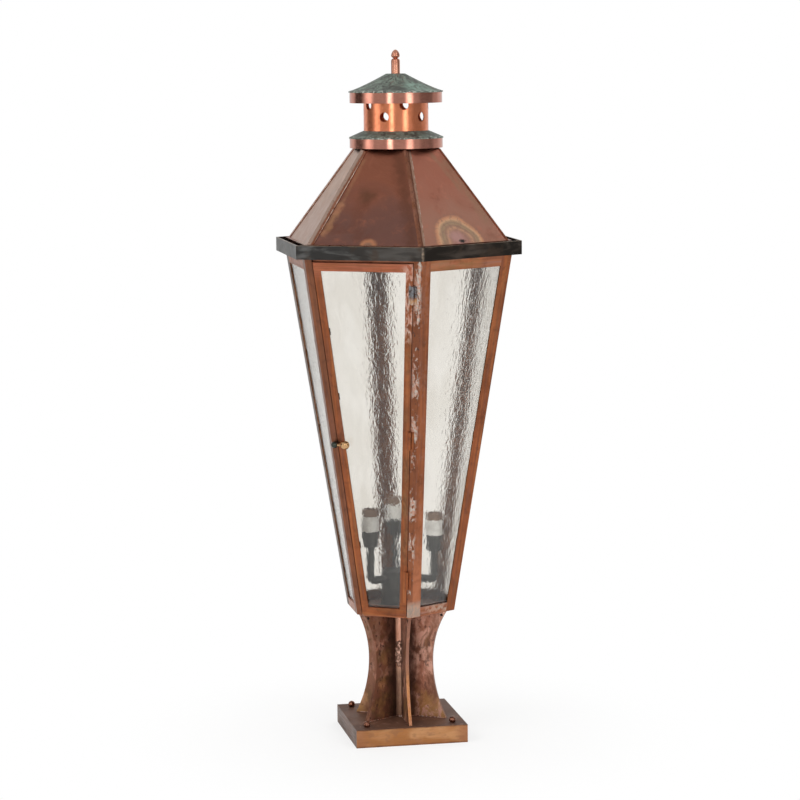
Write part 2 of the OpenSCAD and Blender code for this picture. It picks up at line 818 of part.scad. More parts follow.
module vent_collar() {
    collar_foot_z = panel_top_z - collar_grip;
    collar_top_z = cap_z + cap_flare(collar_r) - brim_t;
    collar_l = collar_top_z - collar_foot_z;
    step = 360 / vent_holes;
    color(copper) difference() {
        translate([0, 0, collar_foot_z]) cylinder(h = collar_l, r = collar_r);
        translate([0, 0, collar_foot_z - 1]) cylinder(h = collar_l + 2, r = collar_r - collar_t);
        for (i = [0:vent_holes - 1]) {
            vent_hole(collar_z + vent_low, vent_turn + i * step);
            vent_hole(collar_z + vent_high, vent_turn + (i + 0.5) * step);
        }
    }
}

module cap_strap() {
    color(copper) difference() {
        intersection() {
            translate([-collar_r, -strap_w / 2, strap_z]) cube([2 * collar_r, strap_w, strap_t]);
            translate([0, 0, strap_z - 1]) cylinder(h = strap_t + 2, r = collar_r - collar_t);
        }
        translate([0, 0, strap_z - 1]) cylinder(h = strap_t + 2, r = finial_stud_r);
    }
}

module finial_stud() {
    below = 2;
    color(brass) translate([0, 0, strap_z - below])
        cylinder(h = cap_top_z + stud_grip - strap_z + below, r = finial_stud_r);
}

module finial() {
    neck_r = 3.1;
    shoulder = 3.4;
    belly = 3.6;
    tip_z = finial_stem_h + finial_tip_h;
    belly_z = finial_stem_h + shoulder + belly;
    color(bright_copper) translate([0, 0, cap_top_z]) difference() {
        rotate_extrude() polygon(concat(
            [[0, 0], [finial_r, 0], [finial_r, finial_stem_h]],
            [for (t = [15:15:90]) [neck_r + (finial_r - neck_r) * cos(t), finial_stem_h + shoulder * sin(t)]],
            [for (t = [-60:15:0]) [acorn_r * cos(t), belly_z + belly * sin(t)]],
            [for (t = [12:12:84])
                [acorn_r * pow(cos(t), 1.15), belly_z + (tip_z - belly_z) * pow(sin(t), 1.1)]],
            [[0, tip_z]]
        ));
        translate([0, 0, -1]) cylinder(h = stud_grip + 1, r = finial_stud_r);
    }
}

// Lamps

module cluster_body() {
    wall = 1.6;
    flange = 3;
    crown = 8;
    color(blackened) translate([0, 0, floor_z]) difference() {
        rotate_extrude() polygon(concat(
            [[tube_r + tube_show, 0], [cluster_r + flange, 0], [cluster_r + flange, wall], [cluster_r, wall]],
            [for (t = [0:15:90]) [cluster_r - crown + crown * cos(t), cluster_h - crown + crown * sin(t)]],
            [[0, cluster_h], [0, cluster_h - wall]],
            [for (t = [90:-15:0])
                [cluster_r - crown + (crown - wall) * cos(t), cluster_h - crown + (crown - wall) * sin(t)]],
            [[cluster_r - wall, wall], [tube_r + tube_show, wall]]
        ));
        for (i = [0:2]) rotate([0, 0, cluster_turn + 120 * i]) translate([0, 0, arm_h])
            rotate([0, 90, 0]) cylinder(h = far, r = arm_r);
    }
}

module tube_section() {
    difference() {
        circle(arm_r);
        circle(arm_r - arm_wall);
    }
}

module cluster_arms() {
    color(blackened) for (i = [0:2]) rotate([0, 0, cluster_turn + 120 * i]) {
        start = cluster_r - arm_inside;
        translate([start, 0, arm_z]) rotate([0, 90, 0])
            linear_extrude(lamp_r - arm_bend_r - start) tube_section();
        translate([lamp_r - arm_bend_r, 0, arm_z + arm_bend_r]) rotate([90, 0, 0]) rotate([0, 0, -90])
            rotate_extrude(angle = 90) translate([arm_bend_r, 0]) tube_section();
        translate([lamp_r, 0, arm_z + arm_bend_r])
            linear_extrude(RISES[i] - arm_bend_r + cup_floor) tube_section();
    }
}

// Stands on the foot of each cup
module at_lamps() {
    for (i = [0:2]) rotate([0, 0, cluster_turn + 120 * i])
        translate([lamp_r, 0, arm_z + RISES[i]]) children();
}

module lamp_cups() {
    edge = 1.2;
    color(blackened) at_lamps() rotate_extrude() polygon([
        [arm_r, 0], [cup_foot_r - edge, 0], [cup_foot_r, edge], [holder_r, cup_h],
        [holder_r - cup_wall, cup_h], [cup_foot_r - cup_wall, cup_floor], [arm_r, cup_floor]
    ]);
}

module lamp_insulators() {
    plug_r = cup_foot_r - cup_wall - 0.2;
    edge = 0.8;
    color(porcelain) at_lamps() rotate_extrude() polygon([
        [arm_r - arm_wall, cup_floor], [plug_r, cup_floor], [plug_r, cup_h], [holder_r, cup_h],
        [holder_r, cup_h + holder_h - edge], [holder_r - edge, cup_h + holder_h],
        [holder_bore_r, cup_h + holder_h], [holder_bore_r, cup_h], [arm_r - arm_wall, cup_h]
    ]);
}

module lamp_rings() {
    edge = 1;
    color(phenolic) at_lamps() translate([0, 0, cup_h + holder_h]) rotate_extrude() polygon([
        [holder_bore_r, 0], [holder_ring_r, 0], [holder_ring_r, holder_ring_h - edge],
        [holder_ring_r - edge, holder_ring_h], [holder_bore_r, holder_ring_h]
    ]);
}

module lamp_shells() {
    shell_t = 0.5;
    shell_drop = 2;
    contact_r = 3.4;
    color(brass) at_lamps() translate([0, 0, cup_h]) {
        ring(holder_bore_r, holder_bore_r - shell_t, holder_h + holder_ring_h - shell_drop);
        ring(holder_bore_r, contact_r, 2 * shell_t);
    }
}

base_tray();
pier_plate();
pier_studs();
ball_nuts();
pedestal_tube();
for (i = [1:POSTS]) {
    pedestal_fin(i);
    corner_post(i);
    roof_panel(i);
}
for (i = [1:len(FIXED_FACES)]) {
    glass_pane(FIXED_FACES[i - 1]);
}
pedestal_cap_plate();
body_floor();
bottom_rails();
top_rails();
top_ring();
glass_clips();
door_frame();
door_glass();
door_clips();
post_hinge_leaves();
door_hinge_leaves();
hinge_pins();
latch_handle();
latch_dark_ball();
latch_tongue();
eave_band();
roof_curb();
hip_strips();
lower_rim();
lower_brim();
vent_collar();
upper_rim();
upper_cap();
cap_strap();
finial_stud();
finial();
cluster_body();
cluster_arms();
lamp_cups();
lamp_insulators();
lamp_rings();
lamp_shells();
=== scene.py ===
import math

import bpy
from mathutils import Matrix, Vector, noise
from mathutils.bvhtree import BVHTree


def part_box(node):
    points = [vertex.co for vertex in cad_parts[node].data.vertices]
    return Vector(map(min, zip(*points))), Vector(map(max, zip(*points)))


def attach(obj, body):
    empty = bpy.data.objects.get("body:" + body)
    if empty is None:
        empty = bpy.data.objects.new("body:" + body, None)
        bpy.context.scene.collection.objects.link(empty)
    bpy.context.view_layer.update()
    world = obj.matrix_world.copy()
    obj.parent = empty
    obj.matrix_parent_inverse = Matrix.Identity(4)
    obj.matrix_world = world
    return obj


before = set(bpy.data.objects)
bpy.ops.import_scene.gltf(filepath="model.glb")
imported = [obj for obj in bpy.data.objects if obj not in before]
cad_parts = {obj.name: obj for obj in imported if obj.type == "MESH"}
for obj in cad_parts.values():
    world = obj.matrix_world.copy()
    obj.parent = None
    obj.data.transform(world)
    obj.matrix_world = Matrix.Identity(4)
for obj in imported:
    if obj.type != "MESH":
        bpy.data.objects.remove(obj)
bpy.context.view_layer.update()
scene = bpy.context.scene

# The camera stands a little to the left of the lantern's front corner and just over the height of its
# finial, far off with a long lens, so that the tapered body keeps nearly parallel edges.
CAMERA_TURN = math.radians(-10.959)
CAMERA_AWAY = 3.59566
CAMERA_HEIGHT = 0.91541
LOOK_TURN = CAMERA_TURN - math.radians(0.030)
LOOK_DOWN = math.radians(7.349)
CAMERA_ROLL = math.radians(-0.526)
CAMERA_LENS = 122.68

camera_data = bpy.data.cameras.new("camera")
camera_data.sensor_width = 36
camera_data.lens = CAMERA_LENS
camera_data.clip_end = 60
camera = bpy.data.objects.new("camera", camera_data)
scene.collection.objects.link(camera)
ahead = Vector((-math.sin(LOOK_TURN), math.cos(LOOK_TURN), 0)) * math.cos(LOOK_DOWN)
ahead.z = -math.sin(LOOK_DOWN)
level = Vector((math.cos(LOOK_TURN), math.sin(LOOK_TURN), 0))
above = level.cross(ahead)
side = level * math.cos(CAMERA_ROLL) + above * math.sin(CAMERA_ROLL)
top = above * math.cos(CAMERA_ROLL) - level * math.sin(CAMERA_ROLL)
camera.matrix_world = Matrix((side, top, -ahead)).transposed().to_4x4()
camera.location = (
    math.sin(CAMERA_TURN) * CAMERA_AWAY,
    -math.cos(CAMERA_TURN) * CAMERA_AWAY,
    CAMERA_HEIGHT,
)
scene.camera = camera

scene.view_settings.view_transform = "Standard"

# The studio: a white ground without an edge, seen straight on, through the glass and in the metal. The
# polished parts also mirror what stands round the camera: grey walls, dark cloths and tall lit strips.
GROUND_WHITE = (1, 1, 1, 1)
AMBIENT = (0.74, 0.74, 0.74, 1)
ROOM_GREY = 0.62
CEILING_GREY = 0.74
# Tall lit strips: bearing of the middle, half their width, softness of their sides, glow
STRIPS = [(-71, 10, 7, 1.7), (-15, 5.5, 4, 4.6), (34, 7, 6, 3.6)]
# Dark cloths: bearing of the middle, half their width, how much they take away
DARK_CLOTHS = [(-106, 15, 0.54), (82, 22, 0.36)]
CLOTH_TOP = (0.36, 0.50)
CLOTH_SOFT = 5
# The walls turn white between these bearings, and the ceiling begins between these heights
WHITE_FROM = (118, 135)
CEILING_FROM = (0.62, 0.80)

world = bpy.data.worlds.new("studio")
scene.world = world
world.use_nodes = True
world.cycles.sampling_method = "NONE"
air = world.node_tree.nodes
wires = world.node_tree.links


def room_sum(kind, a, b=0.0):
    made = air.new("ShaderNodeMath")
    made.operation = kind
    for socket, value in zip(made.inputs, (a, b)):
        if isinstance(value, bpy.types.NodeSocket):
            wires.new(value, socket)
        else:
            socket.default_value = value
    return made.outputs[0]


def room_step(value, low, high):
    made = air.new("ShaderNodeMapRange")
    made.interpolation_type = "SMOOTHSTEP"
    wires.new(value, made.inputs["Value"])
    made.inputs["From Min"].default_value = low
    made.inputs["From Max"].default_value = high
    return made.outputs["Result"]


way = air.new("ShaderNodeTexCoord").outputs["Generated"]
turned = air.new("ShaderNodeVectorRotate")
turned.rotation_type = "Z_AXIS"
turned.inputs["Angle"].default_value = -CAMERA_TURN
wires.new(way, turned.inputs["Vector"])
parts = air.new("ShaderNodeSeparateXYZ")
wires.new(turned.outputs["Vector"], parts.inputs[0])
# Zero is the way to the camera, and positive is to its right as the camera sees it
bearing = room_sum(
    "MULTIPLY",
    room_sum("ARCTAN2", parts.outputs["X"], room_sum("MULTIPLY", parts.outputs["Y"], -1.0)),
    180 / math.pi,
)
height = parts.outputs["Z"]
walls = ROOM_GREY
below_top = room_sum("SUBTRACT", 1.0, room_step(height, *CLOTH_TOP))
for middle, half, depth in DARK_CLOTHS:
    off = room_sum("ABSOLUTE", room_sum("SUBTRACT", bearing, middle))
    cloth = room_sum("SUBTRACT", 1.0, room_step(off, half - CLOTH_SOFT, half + CLOTH_SOFT))
    walls = room_sum("SUBTRACT", walls, room_sum("MULTIPLY", room_sum("MULTIPLY", cloth, below_top), depth))
for middle, half, soft, glow in STRIPS:
    off = room_sum("ABSOLUTE", room_sum("SUBTRACT", bearing, middle))
    strip = room_sum("SUBTRACT", 1.0, room_step(off, half - soft, half + soft))
    walls = room_sum("ADD", walls, room_sum("MULTIPLY", strip, glow))
far_side = room_step(room_sum("ABSOLUTE", bearing), *WHITE_FROM)
walls = room_sum("ADD", walls, room_sum("MULTIPLY", far_side, room_sum("SUBTRACT", 1.0, walls)))
over = room_step(height, *CEILING_FROM)
walls = room_sum("ADD", walls, room_sum("MULTIPLY", over, room_sum("SUBTRACT", CEILING_GREY, walls)))

seen = air["Background"]
seen.inputs["Color"].default_value = GROUND_WHITE
ambient = air.new("ShaderNodeBackground")
ambient.inputs["Color"].default_value = AMBIENT
mirrored = air.new("ShaderNodeBackground")
wires.new(walls, mirrored.inputs["Strength"])
paths = air.new("ShaderNodeLightPath")
plain = air.new("ShaderNodeMixShader")
wires.new(
    room_sum("MAXIMUM", paths.outputs["Is Camera Ray"], paths.outputs["Is Transmission Ray"]),
    plain.inputs[0],
)
wires.new(ambient.outputs[0], plain.inputs[1])
wires.new(seen.outputs[0], plain.inputs[2])
all_round = air.new("ShaderNodeMixShader")
wires.new(paths.outputs["Is Glossy Ray"], all_round.inputs[0])
wires.new(plain.outputs[0], all_round.inputs[1])
wires.new(mirrored.outputs[0], all_round.inputs[2])
wires.new(all_round.outputs[0], air["World Output"].inputs["Surface"])

# Three softboxes light the lantern: one on the left, a weaker one on the right and one behind it. Each row
# below is a box's bearing from the camera, its height, its distance, its width and its power.
SOFTBOXES = [(-48, 2.3, 2.6, 1.5, 26), (40, 1.7, 2.8, 1.3, 15), (168, 2.6, 2.4, 1.6, 14)]
LIGHTS_AIM = Vector((0, 0, 0.45))
for number, (bearing_at, high, away, wide, power) in enumerate(SOFTBOXES):
    box_data = bpy.data.lights.new(f"softbox_{number}", "AREA")
    box_data.size = wide
    box_data.energy = power
    softbox = bpy.data.objects.new(f"softbox_{number}", box_data)
    angle = CAMERA_TURN + math.radians(bearing_at)
    softbox.location = (math.sin(angle) * away, -math.cos(angle) * away, high)
    toward = LIGHTS_AIM - softbox.location
    softbox.rotation_euler = toward.to_track_quat("-Z", "Y").to_euler()
    softbox.visible_glossy = False
    softbox.visible_camera = False
    scene.collection.objects.link(softbox)

# The floor is a sheet of matt white paper, rolled out flat under the lantern. It keeps the soft shadow round
# the base and turns plain white further off.
FLOOR_HALF = 14
SHADOW_REACH = (0.10, 0.42)
PAPER = (0.93, 0.93, 0.92, 1)

floor_mesh = bpy.data.meshes.new("floor")
corners = [
    (-FLOOR_HALF, -FLOOR_HALF, 0),
    (FLOOR_HALF, -FLOOR_HALF, 0),
    (FLOOR_HALF, FLOOR_HALF, 0),
    (-FLOOR_HALF, FLOOR_HALF, 0),
]
floor_mesh.from_pydata(corners, [], [(0, 1, 2, 3)])
floor = bpy.data.objects.new("floor", floor_mesh)
scene.collection.objects.link(floor)
paper = bpy.data.materials.new("floor_paper")
paper.use_nodes = True
sheet = paper.node_tree.nodes
glue = paper.node_tree.links
sheet["Principled BSDF"].inputs["Base Color"].default_value = PAPER
sheet["Principled BSDF"].inputs["Roughness"].default_value = 0.9
white = sheet.new("ShaderNodeEmission")
white.inputs["Color"].default_value = GROUND_WHITE
spot = sheet.new("ShaderNodeVectorMath")
spot.operation = "LENGTH"
glue.new(sheet.new("ShaderNodeTexCoord").outputs["Object"], spot.inputs[0])
fading = sheet.new("ShaderNodeMapRange")
fading.interpolation_type = "SMOOTHSTEP"
glue.new(spot.outputs["Value"], fading.inputs["Value"])
fading.inputs["From Min"].default_value = SHADOW_REACH[0]
fading.inputs["From Max"].default_value = SHADOW_REACH[1]
fading.inputs["To Min"].default_value = 0.72
ray = sheet.new("ShaderNodeLightPath")
direct = sheet.new("ShaderNodeMath")
direct.operation = "MAXIMUM"
glue.new(ray.outputs["Is Camera Ray"], direct.inputs[0])
glue.new(ray.outputs["Is Transmission Ray"], direct.inputs[1])
share = sheet.new("ShaderNodeMath")
share.operation = "MULTIPLY"
glue.new(direct.outputs[0], share.inputs[0])
glue.new(fading.outputs["Result"], share.inputs[1])
laid = sheet.new("ShaderNodeMixShader")
glue.new(share.outputs[0], laid.inputs[0])
glue.new(sheet["Principled BSDF"].outputs[0], laid.inputs[1])
glue.new(white.outputs[0], laid.inputs[2])
glue.new(laid.outputs[0], sheet["Material Output"].inputs["Surface"])
floor_mesh.materials.append(paper)

# The pier plate is a square of steel, bolted to the top of the pier. Four studs stand on it and come up
# through the base. Plate and studs are zinc-plated.


class Finish:
    """One surface, laid on from the metal outwards: each call adds a coat to its material."""

    def __init__(self, name):
        self.material = bpy.data.materials.new(name)
        self.material.use_nodes = True
        self.nodes = self.material.node_tree.nodes
        self.links = self.material.node_tree.links
        self.shader = self.nodes["Principled BSDF"]
        self.coordinates = self.nodes.new("ShaderNodeTexCoord")
        self.place = self.coordinates.outputs["Object"]

    def put(self, socket, value):
        """Wires a value into a socket, or writes it there when it is a plain number or colour."""
        if isinstance(value, bpy.types.NodeSocket):
            self.links.new(value, socket)
        else:
            socket.default_value = value

    def sum(self, kind, a, b=0.0):
        made = self.nodes.new("ShaderNodeMath")
        made.operation = kind
        self.put(made.inputs[0], a)
        self.put(made.inputs[1], b)
        return made.outputs[0]

    def plus(self, a, b):
        return self.sum("ADD", a, b)

    def minus(self, a, b):
        return self.sum("SUBTRACT", a, b)

    def times(self, a, b):
        return self.sum("MULTIPLY", a, b)

    def sway(self, noise_made, reach):
        """Noise swung about zero, to make an edge wander."""
        return self.times(self.minus(noise_made, 0.5), reach)

    def vector(self, kind, a, b=None):
        """A sum on places or directions, such as the distance between two places."""
        made = self.nodes.new("ShaderNodeVectorMath")
        made.operation = kind
        self.put(made.inputs[0], a)
        if b is not None:
            self.put(made.inputs[1], b)
        return made.outputs

    def outward(self):
        """The way out from the lantern's upright middle line, as long as the distance from it."""
        return self.vector("MULTIPLY", self.place, (1, 1, 0))[0]

    def facing(self, way):
        """How much the surface faces a way: 1 towards it, 0 across it, -1 away from it."""
        return self.vector("DOT_PRODUCT", self.coordinates.outputs["Normal"], way)["Value"]

    def axis(self, name):
        """How far a place is along X, Y or Z, in metres."""
        made = self.nodes.new("ShaderNodeSeparateXYZ")
        self.put(made.inputs[0], self.place)
        return made.outputs[name]

    def drawn_out(self, x, y, z, turn=(0, 0, 0)):
        """Places in which a grain is x, y and z times as long."""
        made = self.nodes.new("ShaderNodeMapping")
        made.vector_type = "TEXTURE"
        self.put(made.inputs["Vector"], self.place)
        made.inputs["Scale"].default_value = (x, y, z)
        made.inputs["Rotation"].default_value = turn
        return made.outputs[0]

    def cloud(self, size, detail=3.0, where=None, swirl=0.0, rough=0.55):
        """Soft noise, 0 to 1, with patches about size metres across."""
        made = self.nodes.new("ShaderNodeTexNoise")
        self.put(made.inputs["Vector"], self.place if where is None else where)
        made.inputs["Scale"].default_value = 1 / size
        made.inputs["Detail"].default_value = detail
        made.inputs["Roughness"].default_value = rough
        made.inputs["Distortion"].default_value = swirl
        return made.outputs["Fac"]

    def fade(self, value, low, high, bottom=0.0, top=1.0):
        """Goes smoothly from bottom to top while value goes from low to high."""
        made = self.nodes.new("ShaderNodeMapRange")
        made.interpolation_type = "SMOOTHSTEP"
        self.put(made.inputs["Value"], value)
        made.inputs["From Min"].default_value = low
        made.inputs["From Max"].default_value = high
        made.inputs["To Min"].default_value = bottom
        made.inputs["To Max"].default_value = top
        return made.outputs["Result"]

    def near(self, point, reach, soft=0.5, ragged=0.0, flatten=None):
        """1 at a point, falling to 0 at reach metres from it, with a ragged rim."""
        away = self.vector("SUBTRACT", self.place, point)[0]
        span = self.vector("DIVIDE", away, [reach * f for f in (flatten or (1, 1, 1))])[0]
        distance = self.vector("LENGTH", span)["Value"]
        if ragged:
            distance = self.plus(distance, self.sway(self.cloud(reach * 0.6, 4), ragged))
        return self.minus(1.0, self.fade(distance, 1 - soft, 1.0))

    def line(self, start, end, width, ragged=0.0):
        """1 along a straight line, falling to 0 at width metres from it."""
        start, end = Vector(start), Vector(end)
        away = self.vector("SUBTRACT", self.place, start)[0]
        share = self.vector("DOT_PRODUCT", away, (end - start) / (end - start).length_squared)["Value"]
        held = self.sum("MINIMUM", self.sum("MAXIMUM", share, 0.0), 1.0)
        nearest = self.nodes.new("ShaderNodeVectorMath")
        nearest.operation = "SCALE"
        nearest.inputs[0].default_value = end - start
        self.put(nearest.inputs["Scale"], held)
        distance = self.vector("DISTANCE", away, nearest.outputs[0])["Value"]
        if ragged:
            distance = self.plus(distance, self.sway(self.cloud(0.008, 4), ragged * width * 2))
        return self.fade(distance, 0.0, width, 1.0, 0.0)

    def coat(self, amount, under, over):
        """The colour under, covered by the colour over where amount is 1."""
        made = self.nodes.new("ShaderNodeMix")
        made.data_type = "RGBA"
        self.put(made.inputs[0], amount)
        self.put(made.inputs[6], under)
        self.put(made.inputs[7], over)
        return made.outputs[2]

    def surface(self, colour, roughness, metallic, relief, depth):
        """Joins the coats to the finish. depth is how deep the relief is, in metres."""
        self.put(self.shader.inputs["Base Color"], colour)
        self.put(self.shader.inputs["Roughness"], roughness)
        self.put(self.shader.inputs["Metallic"], metallic)
        bump = self.nodes.new("ShaderNodeBump")
        bump.inputs["Strength"].default_value = 1.0
        bump.inputs["Distance"].default_value = depth
        self.links.new(relief, bump.inputs["Height"])
        self.links.new(bump.outputs["Normal"], self.shader.inputs["Normal"])
        return self.material


def dress(material, *names):
    """Gives CAD nodes their finish."""
    for name in names:
        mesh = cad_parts[name].data
        mesh.materials.clear()
        mesh.materials.append(material)


def shade(red, green, blue):
    """A colour from its shares of red, green and blue light."""
    return (red, green, blue, 1)


ZINC_DULL = shade(0.42, 0.43, 0.45)
ZINC_BRIGHT = shade(0.60, 0.61, 0.62)

zinc = Finish("zinc_plate")
spangle = zinc.nodes.new("ShaderNodeTexVoronoi")
spangle.inputs["Scale"].default_value = 160
zinc.links.new(zinc.place, spangle.inputs["Vector"])
crystals = zinc.fade(spangle.outputs["Distance"], 0.0, 1.0)
zinc_colour = zinc.coat(crystals, ZINC_DULL, ZINC_BRIGHT)
dress(
    zinc.surface(zinc_colour, zinc.fade(crystals, 0, 1, 0.35, 0.5), 1.0, crystals, 0.00005),
    "pier_plate",
    "pier_studs",
)

# The base is a square tray folded from copper sheet, and it is turned over the pier plate. Its front is
# a warm satin. Its sides are painted darker brown, as painted shade, and its top is painted darker still,
# as the painted shadow and reflection of the pedestal.
BASE_TAN = shade(0.43, 0.185, 0.070)
BASE_GOLD = shade(0.58, 0.300, 0.140)
BASE_SIDE_SHADE = shade(0.150, 0.062, 0.032)
BASE_TOP_SHADOW = shade(0.145, 0.072, 0.046)
BASE_TOP_LIGHT = shade(0.30, 0.17, 0.125)
BASE_FOLD = shade(0.16, 0.075, 0.045)
BASE_SPECKS = shade(0.33, 0.16, 0.085)
BASE_ROSE = shade(0.50, 0.22, 0.125)
BASE_END_RED = shade(0.36, 0.15, 0.075)
BASE_SIDE_DEEP_SHADE = shade(0.105, 0.048, 0.028)
BASE_TOP_DEEP_SHADOW = shade(0.105, 0.055, 0.038)
BASE_RUBBED = shade(0.26, 0.13, 0.075)

base_low, base_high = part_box("base_tray")
base = Finish("base_copper")
brushed = base.cloud(0.004, 4, base.drawn_out(9, 9, 0.5))
blotch = base.cloud(0.026, 5, base.drawn_out(2.0, 2.0, 1), swirl=0.7, rough=0.5)
small_blotch = base.cloud(0.007, 5, base.drawn_out(2.2, 2.2, 1), swirl=0.4)
front_colour = base.coat(base.fade(blotch, 0.40, 0.62), BASE_TAN, BASE_GOLD)
front_colour = base.coat(base.fade(small_blotch, 0.50, 0.64, 0.0, 0.55), front_colour, BASE_SPECKS)
front_colour = base.coat(base.fade(base.cloud(0.035, 3), 0.54, 0.68, 0.0, 0.6), front_colour, BASE_ROSE)
corner_red = base.fade(
    base.sum("ABSOLUTE", base.axis("X")), base_high.x - 0.022, base_high.x - 0.004, 0.0, 0.7
)
front_colour = base.coat(corner_red, front_colour, BASE_END_RED)
# Painted shade: the sides are darker than the front
side_shade_colour = base.coat(base.fade(blotch, 0.38, 0.66), BASE_SIDE_SHADE, BASE_SIDE_DEEP_SHADE)
front_side = base.minus(1.0, base.fade(base.axis("Y"), base_low.y + 0.0004, base_low.y + 0.0014))
colour = base.coat(front_side, side_shade_colour, front_colour)
brim_line = base.sum(
    "MAXIMUM",
    base.fade(base.axis("Z"), base_high.z - 0.0022, base_high.z - 0.0008),
    base.fade(base.axis("Z"), 0.0010, 0.0030, 1.0, 0.0),
)
colour = base.coat(base.times(brim_line, base.fade(small_blotch, 0.30, 0.60, 0.9, 0.35)), colour, BASE_FOLD)
# Painted shadow and reflection of the pedestal on the top of the tray
top_side = base.fade(base.axis("Z"), base_high.z - 0.0005, base_high.z - 0.0001)
top_shadow_colour = base.coat(base.fade(blotch, 0.40, 0.66), BASE_TOP_SHADOW, BASE_TOP_DEEP_SHADOW)
top_shadow_colour = base.coat(
    base.fade(base.cloud(0.009, 5, swirl=0.8), 0.56, 0.72, 0.0, 0.7), top_shadow_colour, BASE_TOP_LIGHT
)
colour = base.coat(top_side, colour, top_shadow_colour)
colour = base.coat(base.fade(brushed, 0.45, 0.75, 0.0, 0.20), colour, BASE_RUBBED)
gloss = base.fade(base.plus(brushed, base.times(blotch, 0.5)), 0.4, 1.1, 0.26, 0.46)
gloss = base.plus(gloss, base.times(top_side, 0.18))
base.shader.inputs["Specular IOR Level"].default_value = 0.2
dress(
    base.surface(
        colour, gloss, base.fade(top_side, 0.0, 1.0, 1.0, 0.30), base.plus(brushed, blotch), 0.00014
    ),
    "base_tray",
)

# Four ball nuts of oxidised copper screw down on the studs at the corners of the base, and hold the lantern
# to its pier.
NUT_DARK = shade(0.20, 0.085, 0.055)
NUT_LIGHT = shade(0.38, 0.17, 0.11)

nut = Finish("ball_nut_copper")
nut_shade = nut.cloud(0.003, 3)
nut_colour = nut.coat(nut.fade(nut_shade, 0.4, 0.65), NUT_DARK, NUT_LIGHT)
dress(nut.surface(nut_colour, nut.fade(nut_shade, 0.3, 0.7, 0.2, 0.4), 1.0, nut_shade, 0.0001), "ball_nuts")

# The pedestal's tube is drawn copper, soldered between base and body, and it carries the wires. Below the
# lumps of solder it turns tan and brown, and its right half is painted pinker, as a painted highlight.
FRAME_BROWN = shade(0.250, 0.080, 0.034)
FRAME_RED = shade(0.345, 0.108, 0.045)
FRAME_ORANGE = shade(0.45, 0.160, 0.064)
FRAME_DARK = shade(0.135, 0.055, 0.034)
FRAME_MAUVE = shade(0.235, 0.098, 0.066)
FRAME_OLIVE = shade(0.235, 0.125, 0.062)
FRAME_INSIDE_SHADE = shade(0.125, 0.046, 0.018)
FRAME_INSIDE_SHADE_LIGHT = shade(0.215, 0.088, 0.038)
# The posts all lean from one point under the lantern, where their corner lines would meet
BODY_SPREAD = 0.1727
BODY_START = 0.0460
DOOR_RAILS = (0.192, 0.629)


def frame_copper(name, brown, red, dark, mauve, upright=True):
    """Aged sheet, drawn along its length, with darker and mauve patches.

    upright is True for a piece that stands, False for one that lies round the lantern, and "both" for the
    door, which has stiles and rails in one piece. Returns the finish, its colour, its gloss and its relief.
    """
    made = Finish(name)
    spread = made.sum("DIVIDE", 0.110, made.plus(made.times(made.axis("Z"), BODY_SPREAD), BODY_START))
    leaned = made.nodes.new("ShaderNodeCombineXYZ")
    made.put(leaned.inputs["X"], made.times(made.axis("X"), spread))
    made.put(leaned.inputs["Y"], made.times(made.axis("Y"), spread))
    made.put(leaned.inputs["Z"], made.times(made.axis("Z"), 0.05))
    grain_place = leaned.outputs[0] if upright else made.drawn_out(18, 18, 1)
    if upright == "both":
        rail = made.sum(
            "MAXIMUM",
            made.fade(made.axis("Z"), DOOR_RAILS[0] - 0.001, DOOR_RAILS[0], 1.0, 0.0),
            made.fade(made.axis("Z"), DOOR_RAILS[1], DOOR_RAILS[1] + 0.001),
        )
        grain_place = made.coat(rail, leaned.outputs[0], made.drawn_out(18, 18, 1))
    wide_grain = made.cloud(0.0048, 1.5, grain_place)
    fine_grain = made.cloud(0.0014, 4, grain_place)
    broad = made.cloud(0.045, 5, swirl=0.5)
    mottle = made.cloud(0.010, 5)
    colour = made.coat(made.fade(broad, 0.38, 0.62), brown, red)
    lit = FRAME_ORANGE if brown == FRAME_BROWN else red
    colour = made.coat(made.fade(wide_grain, 0.50, 0.68, 0.0, 0.66), colour, lit)
    colour = made.coat(made.fade(wide_grain, 0.32, 0.49, 0.56, 0.0), colour, mauve)
    second_grain = made.cloud(0.0042, 1.2, grain_place)
    colour = made.coat(
        made.fade(second_grain, 0.53, 0.68, 0.0, 0.40),
        colour,
        FRAME_OLIVE if brown == FRAME_BROWN else dark,
    )
    colour = made.coat(made.fade(second_grain, 0.30, 0.46, 0.36, 0.0), colour, dark)
    colour = made.coat(made.fade(mottle, 0.52, 0.70, 0.0, 0.46), colour, dark)
    colour = made.coat(made.fade(fine_grain, 0.52, 0.74, 0.0, 0.22), colour, red)
    # Painted shade: the sides turned in towards the lamps are painted dark brown
    inner_side_shade = made.fade(
        made.facing(made.vector("NORMALIZE", made.outward())[0]), -0.45, -0.20, 0.92, 0.0
    )
    colour = made.coat(
        inner_side_shade, colour, made.coat(made.fade(mottle, 0.4, 0.6), FRAME_INSIDE_SHADE, FRAME_INSIDE_SHADE_LIGHT)
    )
    gloss = made.fade(made.plus(made.times(mottle, 0.6), made.times(fine_grain, 0.4)), 0.3, 0.7, 0.28, 0.50)
    return made, colour, gloss, made.plus(made.times(fine_grain, 0.5), mottle)


TUBE_RED = shade(0.70, 0.300, 0.190)
TUBE_PINK = shade(0.88, 0.46, 0.31)
TUBE_DARK = shade(0.27, 0.120, 0.075)
TUBE_MAUVE = shade(0.60, 0.34, 0.25)
TUBE_FOOT_TAN = shade(0.26, 0.175, 0.115)
TUBE_FOOT_BROWN = shade(0.150, 0.100, 0.070)
TUBE_PAINTED_HIGHLIGHT = shade(0.88, 0.48, 0.34)

